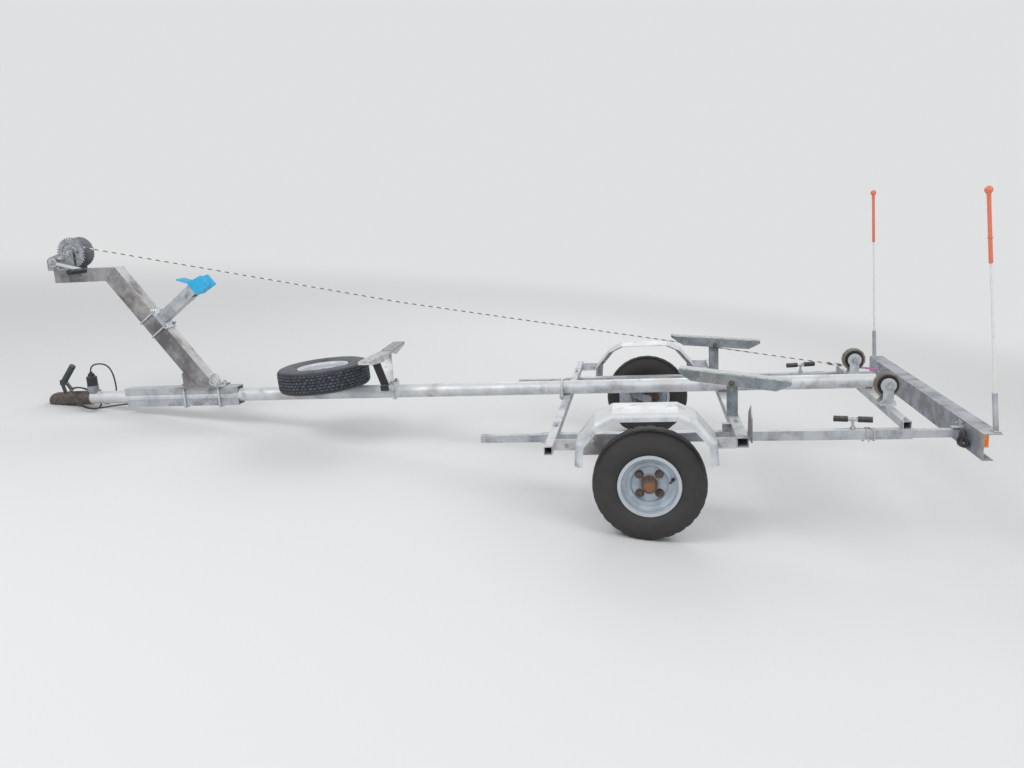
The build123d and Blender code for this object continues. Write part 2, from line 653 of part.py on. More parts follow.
def build_frame():
    """Drawbar, cross members and side rails."""
    parts = {}
    bar = rod_x(DRAWBAR_RADIUS, DRAWBAR_FRONT, DRAWBAR_REAR, 0, DRAWBAR_Z)
    bar -= rod_x(DRAWBAR_RADIUS - DRAWBAR_WALL, DRAWBAR_FRONT - 1, DRAWBAR_REAR + 1, 0, DRAWBAR_Z)
    parts["drawbar"] = bar
    parts["side_rails"] = Compound([tube_x(RAIL_FRONT, RAIL_REAR, side * RAIL_Y, RAIL_Z, RAIL_SIZE, RAIL_WALL)
                                    for _, side in SIDES])
    parts["cross_front"] = tube_y(CROSS_FRONT_X, CROSS_FRONT_HALF, RAIL_TOP, CROSS_SIZE, CROSS_SIZE,
                                  CROSS_WALL)
    parts["cross_mid"] = tube_y(CROSS_MID_X, CROSS_MID_HALF, RAIL_TOP, CROSS_MID_WIDTH, CROSS_MID_HEIGHT,
                                CROSS_WALL)
    parts["cross_rear"] = tube_y(CROSS_REAR_X, CROSS_REAR_HALF, RAIL_TOP, CROSS_SIZE, CROSS_SIZE, CROSS_WALL)
    pack_z = RAIL_TOP + CROSS_SIZE
    plate_half = UBOLT_REACH + UBOLT_ROD + 3
    front_plate = block(FRONT_UBOLT_X - UBOLT_ROD, CROSS_FRONT_X + CROSS_SIZE / 2, -plate_half, plate_half, pack_z,
                        pack_z + PACKING)
    for s in (NEAR, FAR):
        front_plate -= rod_z(UBOLT_ROD / 2 + SEAT_GAP, FRONT_UBOLT_X, s * UBOLT_REACH, pack_z - 1,
                             pack_z + PACKING + 1)
    packings = [front_plate]
    packings.append(block(CROSS_REAR_X - CROSS_SIZE / 2, CROSS_REAR_X + CROSS_SIZE / 2, -DRAWBAR_RADIUS,
                          DRAWBAR_RADIUS, pack_z, pack_z + PACKING))
    parts["packing_plates"] = Compound(packings)
    return parts


def build_coupling():
    """Coupling head with ball socket and collar, and its lever."""
    parts = {}
    brow = HEAD_BOTTOM + HEAD_BROW
    half = HEAD_WIDTH / 2
    crown = HEAD_TOP - 2
    nose = Polyline((0, HEAD_BOTTOM), (half, HEAD_BOTTOM), (half, brow))
    nose += ThreePointArc((half, brow), (half * 0.76, brow + (crown - brow) * 0.6), (0, crown))
    nose += Line((0, crown), (0, HEAD_BOTTOM))
    head = Pos(BALL_X, 0, 0) * revolve(Plane.XZ * make_face(nose), Axis.Z)
    collar_front = DRAWBAR_FRONT - COLLAR_WALL
    side = half - 4
    body = block(BALL_X, collar_front, -side, side, HEAD_BOTTOM, HEAD_TOP)
    shoulders = body.edges().filter_by(Axis.X).sort_by(Axis.Z)[-2:]
    head += fillet(shoulders, HEAD_SHOULDER)
    taper = Cone(COLLAR_RADIUS - 10, COLLAR_RADIUS, COLLAR_TAPER)
    head += Pos(collar_front - COLLAR_TAPER / 2, 0, DRAWBAR_Z) * Rot(0, 90, 0) * taper
    ball_z = HEAD_BOTTOM + BALL_DEPTH
    head -= Pos(BALL_X, 0, ball_z) * Sphere(BALL_SOCKET_RADIUS)
    head -= rod_z(BALL_SOCKET_RADIUS, BALL_X, 0, HEAD_BOTTOM - 1, ball_z)
    pivot_x = BALL_X + LEVER_SETBACK
    slot = LEVER_THICKNESS / 2 + 1
    head -= block(pivot_x - slot - 3, pivot_x + slot + 1, -slot, slot, HEAD_TOP - 8, HEAD_TOP + 20)
    collar = rod_x(COLLAR_RADIUS, collar_front, COLLAR_REAR, 0, DRAWBAR_Z)
    collar -= rod_x(DRAWBAR_RADIUS + SEAT_GAP, DRAWBAR_FRONT, COLLAR_REAR + 1, 0, DRAWBAR_Z)
    parts["coupling_head"] = head + collar
    y0, y1 = -LEVER_THICKNESS / 2, LEVER_THICKNESS / 2
    low = (pivot_x, HEAD_BOTTOM + LEVER_HEIGHT + 19)
    high = (low[0] + GRIP_RUN, low[1] + GRIP_RISE)
    link_top = (pivot_x - 14, low[1] - 1)
    strut_top = (pivot_x + 10, low[1] - 5)
    link = strip_xz((pivot_x, HEAD_TOP - 6), link_top, LEVER_THICKNESS, y0, y1)
    strut = strip_xz((pivot_x + 36, DRAWBAR_Z + COLLAR_RADIUS + 4), strut_top, LEVER_THICKNESS, y0, y1)
    yoke = strip_xz((link_top[0] - 6, link_top[1] - 4), (strut_top[0] + 6, strut_top[1] - 2), 2 * LEVER_THICKNESS,
                    y0, y1)
    rise = degrees(atan2(GRIP_RISE, GRIP_RUN))
    grip = rod_z(GRIP_RADIUS, 0, 0, 0, hypot(GRIP_RUN, GRIP_RISE))
    grip = fillet(grip.edges().filter_by(GeomType.CIRCLE), GRIP_RADIUS / 3)
    parts["coupling_lever"] = link + strut + yoke + Pos(low[0], 0, low[1]) * Rot(0, 90 - rise, 0) * grip
    return parts


def build_post():
    """Clamp channels, foot, winch post, snubber stem, bow snubber and all the U-bolts."""
    parts = {}
    tip = sqrt((DRAWBAR_RADIUS + SEAT_GAP) ** 2 - CLAMP_INNER_HALF ** 2)
    half = CLAMP_INNER_HALF + CLAMP_WALL
    channels = []
    for up, front in ((1, CLAMP_FRONT_UPPER), (-1, CLAMP_FRONT_LOWER)):
        outer = block(front, CLAMP_REAR, -half, half, DRAWBAR_Z + up * tip, DRAWBAR_Z + up * (tip + CLAMP_HEIGHT))
        inner = block(front - 1, CLAMP_REAR + 1, -CLAMP_INNER_HALF, CLAMP_INNER_HALF,
                      DRAWBAR_Z + up * (tip - 1), DRAWBAR_Z + up * (tip + CLAMP_HEIGHT - CLAMP_WALL))
        channels.append(outer - inner)
    parts["clamp_channels"] = Compound(channels)
    clamp_top = DRAWBAR_Z + tip + CLAMP_HEIGHT
    clamp_bottom = DRAWBAR_Z - tip - CLAMP_HEIGHT
    foot_top = clamp_top + FOOT_SHEET
    leg_y = half + SEAT_GAP + UBOLT_ROD / 2
    base = block(FOOT_FRONT, FOOT_REAR, -FOOT_HALF_WIDTH, FOOT_HALF_WIDTH, clamp_top, foot_top)
    for x in CLAMP_BOLT_XS:
        for s in (NEAR, FAR):
            base -= rod_z(UBOLT_ROD / 2 + SEAT_GAP, x, s * leg_y, clamp_top - 1, foot_top + 1)
    slope = radians(POST_SLOPE)
    run = (foot_top - ARM_TOP) / tan(slope)
    cut = POST_DEPTH / sin(slope)
    arm_bottom = ARM_TOP - ARM_HEIGHT
    elbow_x = POST_FOOT_X - (arm_bottom - foot_top) / tan(slope)
    cheek_y = POST_WIDTH / 2 + SEAT_GAP
    lean = (GUSSET_HEIGHT + 2) / tan(slope)
    gusset_x = CLAMP_BOLT_XS[0] + UBOLT_ROD / 2 + 2
    gusset = [(gusset_x, foot_top), (POST_FOOT_X - lean - 4, foot_top + GUSSET_KINK),
              (POST_FOOT_X - lean + 3, foot_top + GUSSET_HEIGHT), (gusset_x + GUSSET_LENGTH, foot_top)]
    for s in (NEAR, FAR):
        base += plate_xz(gusset, *sorted((s * cheek_y, s * (cheek_y + FOOT_SHEET))))
    parts["post_foot"] = base
    bolts = []
    for x in CLAMP_BOLT_XS:
        low = clamp_bottom - SEAT_GAP - UBOLT_ROD / 2
        high = foot_top + 16
        points = [(x, -leg_y, high), (x, -leg_y, low), (x, leg_y, low), (x, leg_y, high)]
        bolts.append(bent_rod(points, [UBOLT_ROD / 2 + UBOLT_BEND] * 2, UBOLT_ROD / 2))
    outline = [(ARM_FRONT, arm_bottom), (elbow_x, arm_bottom), (POST_FOOT_X, foot_top),
               (POST_FOOT_X + cut, foot_top), (POST_FOOT_X + cut + run, ARM_TOP), (ARM_FRONT, ARM_TOP)]
    post = plate_xz(outline, -POST_WIDTH / 2, POST_WIDTH / 2)
    lower = offset_line(outline[:3], POST_WALL)
    upper = offset_line(outline[3:], POST_WALL)
    bore = [(ARM_FRONT - 1, lower[0][1])] + lower[1:2]
    bore += [(lower[2][0], foot_top + POST_WALL), (upper[0][0], foot_top + POST_WALL)] + upper[1:2]
    bore += [(ARM_FRONT - 1, upper[2][1])]
    post -= plate_xz(bore, -POST_WIDTH / 2 + POST_WALL, POST_WIDTH / 2 - POST_WALL)
    parts["winch_post"] = post
    snubber, saddle_bolts = build_snubber((POST_FOOT_X + cut + run, ARM_TOP))
    parts.update(snubber)
    bolts.append(drawbar_u_bolt(FRONT_UBOLT_X, RAIL_TOP + CROSS_SIZE - 12))
    bolts.append(drawbar_u_bolt(CRADLE_BOLT_X, DRAWBAR_TOP + CRADLE_BASE_RISE + 14))
    parts["u_bolts"] = Compound(bolts + saddle_bolts)
    return parts


def build_snubber(corner):
    """Saddle, stem and bow snubber, square to the post's rear face, and their U-bolts."""
    slope = radians(POST_SLOPE)
    x = corner[0] + cos(slope) * SNUBBER_RUN
    z = corner[1] - sin(slope) * SNUBBER_RUN
    # local X runs square out from the post, local Z runs up along it
    place = Pos(x, 0, z) * Rot(0, POST_SLOPE - 90, 0)
    half = STEM_SIZE / 2
    bore = half - STEM_WALL
    saddle = block(0, SADDLE_SHEET, -POST_WIDTH / 2 - 14, POST_WIDTH / 2 + 14, -SADDLE_LENGTH / 2,
                   SADDLE_LENGTH / 2)
    rod = UBOLT_ROD / 2 - 1
    leg_y = POST_WIDTH / 2 + SEAT_GAP + rod
    bolts = []
    for s in (-1, 1):
        level = s * SADDLE_BOLT_PITCH / 2
        for side in (NEAR, FAR):
            saddle -= rod_x(rod + SEAT_GAP, -1, SADDLE_SHEET + 1, side * leg_y, level)
        back = -POST_DEPTH - SEAT_GAP - rod
        points = [(SADDLE_SHEET + 14, -leg_y, level), (back, -leg_y, level), (back, leg_y, level),
                  (SADDLE_SHEET + 14, leg_y, level)]
        bolts.append(bent_rod(points, [rod + UBOLT_BEND] * 2, rod))
    stem = block(SADDLE_SHEET, SADDLE_SHEET + STEM_LENGTH, -half, half, -half, half)
    stem -= block(SADDLE_SHEET - 1, SADDLE_SHEET + STEM_LENGTH + 1, -bore, bore, -bore, bore)
    seat = BLOCK_SEAT - ADAPTER_SHEET
    outer = half + SEAT_GAP
    adapter = block(seat, BLOCK_SEAT, -outer - ADAPTER_SHEET, outer + ADAPTER_SHEET, -half, half)
    for s in (NEAR, FAR):
        adapter += block(seat - ADAPTER_LAP, seat + 1, s * outer, s * (outer + ADAPTER_SHEET), -half, half)
    tip = BLOCK_SEAT + BLOCK_DEPTH
    high, low = BLOCK_TIP_HEIGHT / 2 - BLOCK_TIP_DROP, -BLOCK_TIP_HEIGHT / 2 - BLOCK_TIP_DROP
    side_view = [(BLOCK_SEAT, BLOCK_HEIGHT / 2), (tip, high), (tip, low), (BLOCK_SEAT, -BLOCK_HEIGHT / 2)]
    rubber = plate_xz(side_view, -BLOCK_WIDTH / 2, BLOCK_WIDTH / 2)
    rubber = fillet(rubber.edges().filter_by_position(Axis.X, tip - 0.1, tip + 0.1), BLOCK_EDGE)
    notch = [(tip - BLOCK_NOTCH_DEPTH, 0), (tip + 5, -BLOCK_NOTCH_WIDTH * 0.6),
             (tip + 5, BLOCK_NOTCH_WIDTH * 0.6)]
    vee = make_face(Polyline(*[(n, y, -BLOCK_HEIGHT) for n, y in notch], close=True))
    rubber -= extrude(vee, amount=2 * BLOCK_HEIGHT, dir=(0, 0, 1))
    root = (BLOCK_SEAT + 4, BLOCK_HEIGHT / 2 - 3)
    wing = strip_xz(root, (root[0] - BLOCK_FLANGE_BACK, root[1] + BLOCK_FLANGE_RISE), BLOCK_FLANGE_SHEET,
                    -BLOCK_WIDTH / 2, BLOCK_WIDTH / 2)
    snubber = rubber + wing
    pieces = {"snubber_stem": saddle + stem, "snubber_adapter": adapter, "bow_snubber": snubber}
    return {node: place * piece for node, piece in pieces.items()}, [place * bolt for bolt in bolts]


def build_winch():
    """Hand winch: frame, drum with its spur gear, pinion with crank."""
    parts = {}
    front, rear = DRUM_X - FRAME_REACH, DRUM_X + FRAME_BOSS_RADIUS
    base = block(front, rear, FRAME_NEAR_Y, FRAME_FAR_Y, ARM_TOP, ARM_TOP + FRAME_SHEET)
    brow = (front, ARM_TOP + FRAME_FRONT_HEIGHT)
    rise = atan2(DRUM_Z + FRAME_BOSS_RADIUS - brow[1], DRUM_X - brow[0])
    crest = (DRUM_X - FRAME_BOSS_RADIUS * sin(rise), DRUM_Z + FRAME_BOSS_RADIUS * cos(rise))
    cheek = [(front, ARM_TOP), (front, brow[1] - FRAME_CORNER), (front + FRAME_CORNER * 0.3,
             brow[1] - FRAME_CORNER * 0.2), (front + FRAME_CORNER, brow[1] + FRAME_CORNER * sin(rise)), crest,
             (DRUM_X, DRUM_Z), (rear, DRUM_Z), (rear, ARM_TOP)]
    for y0, y1 in ((FRAME_NEAR_Y, FRAME_NEAR_Y + FRAME_SHEET), (FRAME_FAR_Y - FRAME_SHEET, FRAME_FAR_Y)):
        base += plate_xz(cheek, y0, y1)
        base += rod_y(FRAME_BOSS_RADIUS, DRUM_X, y0, y1, DRUM_Z)
    drill = FRAME_FAR_Y + 5
    base -= rod_y(DRUM_SHAFT_RADIUS + RUNNING_GAP, DRUM_X, FRAME_NEAR_Y - 1, drill, DRUM_Z)
    base -= rod_y(PINION_SHAFT_RADIUS + RUNNING_GAP, PINION_X, FRAME_NEAR_Y - 1, drill, PINION_Z)
    parts["winch_frame"] = base
    core_start = GEAR_Y + GEAR_WIDTH
    core_end = core_start + DRUM_LENGTH
    mesh = pi + radians(MESH_DROP)
    drum = toothed_wheel(GEAR_TEETH, -TOOTH_SHIFT, 0, mesh, (DRUM_X, DRUM_Z), GEAR_Y, core_start)
    drum -= rod_y(GEAR_DISH_RADIUS, DRUM_X, GEAR_Y - 1, GEAR_Y + GEAR_DISH_DEPTH, DRUM_Z)
    for i in range(GEAR_HOLE_COUNT):
        angle = 2 * pi * i / GEAR_HOLE_COUNT
        drum -= rod_y(GEAR_HOLE_RADIUS, DRUM_X + GEAR_HOLE_CIRCLE * cos(angle), GEAR_Y - 1, core_start + 1,
                      DRUM_Z + GEAR_HOLE_CIRCLE * sin(angle))
    drum += rod_y(DRUM_CORE_RADIUS, DRUM_X, core_start, core_end, DRUM_Z)
    drum += rod_y(DRUM_FLANGE_RADIUS, DRUM_X, core_end, core_end + DRUM_FLANGE_SHEET, DRUM_Z)
    drum += rod_y(DRUM_SHAFT_RADIUS, DRUM_X, FRAME_NEAR_Y - 5, FRAME_FAR_Y + 5, DRUM_Z)
    parts["winch_drum"] = drum
    winding = rod_y(WINDING_RADIUS, DRUM_X, core_start + SEAT_GAP, core_end - SEAT_GAP, DRUM_Z)
    winding -= rod_y(DRUM_CORE_RADIUS + SEAT_GAP, DRUM_X, core_start - 1, core_end + 1, DRUM_Z)
    parts["cable_winding"] = winding
    first = radians(MESH_DROP) + pi / PINION_TEETH
    pinion = toothed_wheel(PINION_TEETH, TOOTH_SHIFT, PINION_TIP_CUT, first, (PINION_X, PINION_Z), GEAR_Y - 2,
                           core_start + 2)
    pinion += rod_y(PINION_SHAFT_RADIUS, PINION_X, CRANK_Y - 6, FRAME_FAR_Y + 5, PINION_Z)
    pinion += rod_y(CRANK_BOSS_RADIUS, PINION_X, CRANK_Y, CRANK_Y + CRANK_SHEET, PINION_Z)
    drop = radians(CRANK_DROP)
    end = (PINION_X + CRANK_LENGTH * cos(drop), PINION_Z - CRANK_LENGTH * sin(drop))
    arm = strip_xz((PINION_X, PINION_Z), end, CRANK_WIDTH, CRANK_Y, CRANK_Y + CRANK_SHEET)
    arm += rod_y(CRANK_WIDTH / 2, end[0], CRANK_Y, CRANK_Y + CRANK_SHEET, end[1])
    parts["winch_crank"] = pinion + arm
    grip = rod_y(CRANK_GRIP_RADIUS, end[0], CRANK_Y - CRANK_GRIP_LENGTH, CRANK_Y, end[1])
    parts["crank_grip"] = fillet(grip.edges().filter_by(GeomType.CIRCLE), CRANK_GRIP_RADIUS / 4)
    return parts


def build_cable():
    """Taut winch cable from the drum past the far bunk post to the rear cross member, with its hook."""
    start = (DRUM_X + 6, -20.0, DRUM_Z + WINDING_RADIUS + SEAT_GAP + CABLE_RADIUS)
    post = (BUNK_PIVOT_X, CABLE_POST_Y, 281.0)
    end = (CROSS_REAR_X - 60, CABLE_HOOK_Y, RAIL_TOP + CROSS_SIZE + 14)
    middle = tuple((a + b) / 2 for a, b in zip(start, post))
    middle = (middle[0], middle[1], middle[2] - CABLE_SAG)
    cable = bent_rod([start, middle, post, end], [CABLE_SAG_RADIUS, CABLE_POST_RADIUS], CABLE_RADIUS)
    over = RAIL_TOP + CROSS_SIZE
    near_x, far_x = CROSS_REAR_X - CROSS_SIZE / 2, CROSS_REAR_X + CROSS_SIZE / 2
    hook = [(end[0], over + 8), (end[0], over + 20), (far_x + 6, over + 6), (far_x + 6, over - 10),
            (far_x, over - 10), (far_x, over), (near_x, over)]
    return {"winch_cable": cable + plate_xz(hook, end[1] - 6, end[1] + 6)}


def build_cradle():
    """Bow cradle on the drawbar: two level pads on splayed legs."""
    base_top = DRAWBAR_TOP + CRADLE_BASE_RISE
    frame = block(CRADLE_BASE_FRONT, CRADLE_BASE_REAR, -CRADLE_BASE_HALF, CRADLE_BASE_HALF,
                  DRAWBAR_Z + 12, base_top)
    frame -= rod_x(DRAWBAR_RADIUS + SEAT_GAP, CRADLE_BASE_FRONT - 1, CRADLE_BASE_REAR + 1, 0, DRAWBAR_Z)
    for s in (NEAR, FAR):
        frame -= rod_z(UBOLT_ROD / 2 + SEAT_GAP, CRADLE_BOLT_X, s * UBOLT_REACH, DRAWBAR_Z, base_top + 1)
    plate_top = CRADLE_PAD_HEIGHT - CRADLE_PAD_SHEET
    plate_low = plate_top - CRADLE_SHEET
    half = CRADLE_PAD_WIDTH / 2
    leg_top = CRADLE_LEG_HEAD_Y - CRADLE_PAD_INNER
    foot_x = CRADLE_BASE_FRONT + CRADLE_LEG_WIDTH / 2 + 4
    pads = []
    for s in (NEAR, FAR):
        foot = Pos(foot_x, s * CRADLE_LEG_FOOT_Y, base_top - 2) * Rectangle(CRADLE_LEG_WIDTH, CRADLE_LEG_SHEET)
        rise = Vector(-CRADLE_LEG_LEAD, s * (CRADLE_LEG_HEAD_Y - CRADLE_LEG_FOOT_Y),
                      plate_low + 1 - base_top + 2)
        frame += extrude(foot, amount=rise.length, dir=tuple(rise.normalized()))
        # local Y runs outward along the pad
        at = Pos(CRADLE_X, s * CRADLE_PAD_INNER, 0) * Rot(0, 0, s * CRADLE_SWEEP)
        reach = s * CRADLE_PAD_LENGTH
        frame += at * block(-half + 2, half - 2, 0, reach, plate_low, plate_top)
        apron = [(0, plate_low + 1), (s * leg_top, plate_top - CRADLE_FLANGE), (reach, plate_low - 4),
                 (reach, plate_low + 1)]
        frame += at * plate_yz(apron, half - 2 - CRADLE_SHEET, half - 2)
        pads.append(at * block(-half, half, 0, reach, plate_top, CRADLE_PAD_HEIGHT))
    return {"bow_cradle": frame, "cradle_pads": Compound(pads)}


def bunk_place(side):
    """Frame of a bunk's pivot: local X along the bunk, local Y along its pin."""
    return Pos(BUNK_PIVOT_X, side * BUNK_PIVOT_Y, BUNK_PIVOT_Z) * Rot(0, 0, side * BUNK_YAW)


def build_bunks():
    """Swivelling bunks and their posts on the middle cross member."""
    parts = {}
    cross_top = RAIL_TOP + CROSS_MID_HEIGHT
    posts = []
    for name, side in SIDES:
        upright = Pos(BUNK_PIVOT_X, side * BUNK_PIVOT_Y, 0) * Rot(0, 0, side * BUNK_YAW)
        half = BUNK_POST_WIDTH / 2
        deep = BUNK_POST_DEPTH / 2
        post = block(-half, half, -deep, deep, cross_top, BUNK_PIVOT_Z)
        post += rod_y(half, 0, -deep, deep, BUNK_PIVOT_Z)
        post -= rod_y(BUNK_PIN_RADIUS + RUNNING_GAP, 0, -deep - 1, deep + 1, BUNK_PIVOT_Z)
        posts.append(upright * post)
        top = BUNK_PIVOT_DROP - BUNK_STRIP_SHEET
        low = BUNK_PIVOT_DROP - BUNK_HEIGHT
        front, rear = -BUNK_FRONT, BUNK_LENGTH - BUNK_FRONT
        side_view = [(front, top), (front, top - 12), (front + BUNK_END_SLOPE, low), (rear - BUNK_END_SLOPE, low),
                     (rear, top - 12), (rear, top)]
        channel = plate_xz(side_view, -BUNK_WIDTH / 2, BUNK_WIDTH / 2)
        channel -= block(front - 1, rear + 1, -BUNK_WIDTH / 2 + BUNK_SHEET, BUNK_WIDTH / 2 - BUNK_SHEET, low - 1,
                         top - BUNK_SHEET)
        pin = rod_y(BUNK_PIN_RADIUS, 0, -BUNK_WIDTH / 2 - 6, BUNK_WIDTH / 2 + 6, 0)
        at = bunk_place(side) * Rot(0, BUNK_PITCH, 0)
        parts[f"bunk_{name}"] = at * (channel + pin)
        strip = block(front, rear, -BUNK_STRIP_WIDTH / 2, BUNK_STRIP_WIDTH / 2, top, BUNK_PIVOT_DROP)
        parts[f"bunk_strip_{name}"] = at * strip
    parts["bunk_posts"] = Compound(posts)
    return parts


def build_rollers():
    """Rear rollers in their forks on the rear cross member."""
    parts = {}
    base_z = RAIL_TOP + CROSS_SIZE
    cheek = ROLLER_WIDTH / 2 + SWING_GAP
    forks = []
    for name, side in SIDES:
        y = side * ROLLER_Y
        half, neck = FORK_WIDTH / 2, FORK_NECK / 2
        x = CROSS_REAR_X
        side_view = [(half, 0), (half, FORK_SHOULDER), (neck, FORK_SHOULDER + 10), (neck, ROLLER_Z - base_z)]
        outline = [(x - a, base_z + h) for a, h in side_view]
        outline += [(x + a, base_z + h) for a, h in side_view[::-1]]
        fork = block(x - half, x + half, y - cheek - 12, y + cheek + 12, base_z, base_z + FORK_BASE)
        for s in (-1, 1):
            near, far = sorted((y + s * cheek, y + s * (cheek + FORK_SHEET)))
            fork += plate_xz(outline, near, far)
            fork += rod_y(FORK_DISC_RADIUS, x, near, far, ROLLER_Z)
        fork -= rod_y(ROLLER_PIN_RADIUS + RUNNING_GAP, x, y - cheek - 20, y + cheek + 20, ROLLER_Z)
        forks.append(fork)
        wheel = rod_y(ROLLER_RADIUS, x, y - ROLLER_WIDTH / 2, y + ROLLER_WIDTH / 2, ROLLER_Z)
        wheel = fillet(wheel.edges().filter_by(GeomType.CIRCLE), 5)
        boss = cheek - 0.5
        wheel += rod_y(13, x, y - boss, y + boss, ROLLER_Z)
        wheel += rod_y(ROLLER_PIN_RADIUS, x, y - cheek - 10, y + cheek + 10, ROLLER_Z)
        parts[f"roller_{name}"] = wheel
    parts["roller_forks"] = Compound(forks)
    return parts


def build_light_beam():
    """Pull-out rear beam on its slide tubes, with lamps and marker poles."""
    parts = {}
    tubes = [tube_x(SLIDE_FRONT, BEAM_FRONT, side * RAIL_Y, RAIL_Z, SLIDE_SIZE, SLIDE_WALL)
             for _, side in SIDES]
    parts["slide_tubes"] = Compound(tubes)
    low = BEAM_TOP - BEAM_HEIGHT
    web_back = BEAM_FRONT + BEAM_SHEET
    beam = block(BEAM_FRONT, web_back, -BEAM_HALF, BEAM_HALF, low, BEAM_TOP)
    beam += block(BEAM_FRONT, BEAM_FRONT + BEAM_TOP_FLANGE, -BEAM_HALF, BEAM_HALF,
                  BEAM_TOP - BEAM_SHEET, BEAM_TOP)
    beam += block(BEAM_FRONT, BEAM_FRONT + BEAM_BOTTOM_FLANGE, -BEAM_HALF, BEAM_HALF, low, low + BEAM_SHEET)
    parts["light_beam"] = beam
    lamps, poles, sleeves, sockets, reflectors = [], [], [], [], []
    for name, side in SIDES:
        y0, y1 = sorted((side * (BEAM_HALF - LAMP_INBOARD), side * (BEAM_HALF - LAMP_INBOARD - LAMP_LENGTH)))
        lamp_top = BEAM_TOP - BEAM_SHEET - 6
        lamp = block(web_back, web_back + LAMP_DEPTH, y0, y1, lamp_top - LAMP_HEIGHT, lamp_top)
        lamps.append(fillet(lamp.edges().filter_by_position(Axis.X, web_back + LAMP_DEPTH - 0.1,
                                                             web_back + LAMP_DEPTH + 0.1), 6))
        foot_at = Pos(BEAM_FRONT + POLE_SETBACKS[name], side * (BEAM_HALF - POLE_INBOARD), BEAM_TOP)
        at = foot_at * Rot(0, -POLE_LEANS[name], 0)
        bore = POLE_RADIUS + SEAT_GAP
        pole_top = POLE_HEIGHT - POLE_BALL_RADIUS / 2
        poles.append(at * rod_z(POLE_RADIUS, 0, 0, 2, pole_top))
        cap = rod_z(SLEEVE_RADIUS, 0, 0, POLE_HEIGHT - SLEEVE_LENGTH, POLE_HEIGHT)
        cap += Pos(0, 0, POLE_HEIGHT) * Sphere(POLE_BALL_RADIUS)
        sleeves.append(at * (cap - rod_z(bore, 0, 0, 0, pole_top)))
        socket = rod_z(SOCKET_RADIUS, 0, 0, SOCKET_FOOT_SHEET, SOCKET_HEIGHT)
        socket -= rod_z(bore, 0, 0, 1, SOCKET_HEIGHT + 5)
        foot = block(-SOCKET_RADIUS - 2, SOCKET_RADIUS + 2, -2 * SOCKET_RADIUS, 2 * SOCKET_RADIUS,
                     0, SOCKET_FOOT_SHEET)
        sockets.append(at * socket + foot_at * (foot - rod_z(POLE_RADIUS + 2, 0, 0, -1, SOCKET_FOOT_SHEET + 2)))
        under = BEAM_TOP - BEAM_SHEET - 1
        y0, y1 = sorted((side * BEAM_HALF, side * (BEAM_HALF - REFLECTOR_WIDTH)))
        reflectors.append(block(web_back, web_back + REFLECTOR_DEPTH, y0, y1,
                                under - REFLECTOR_HEIGHT, under))
    parts["lamps"] = Compound(lamps)
    parts["marker_poles"] = Compound(poles)
    parts["marker_sleeves"] = Compound(sleeves)
    parts["pole_sockets"] = Compound(sockets)
    parts["reflectors"] = Compound(reflectors)
    screws, grips = [], []
    height = CLAMP_SCREW_HEIGHT
    for _, side in SIDES:
        at = Pos(CLAMP_SCREW_X, side * RAIL_Y, RAIL_TOP)
        turned = at * Rot(0, 0, side * CLAMP_GRIP_TURN)
        screw = rod_z(CLAMP_SCREW_RADIUS, 0, 0, 0, height) + extrude(RegularPolygon(10, 6), amount=10)
        screws.append(at * screw + turned * rod_x(8, -CLAMP_GRIP_GAP / 2, CLAMP_GRIP_GAP / 2, 0, height))
        for s in (-1, 1):
            x0, x1 = sorted((s * CLAMP_GRIP_GAP / 2, s * (CLAMP_GRIP_GAP / 2 + CLAMP_GRIP_LENGTH)))
            grips.append(turned * rod_x(CLAMP_GRIP_RADIUS, x0, x1, 0, height))
    parts["clamp_screws"] = Compound(screws)
    parts["clamp_grips"] = Compound(grips)
    return parts


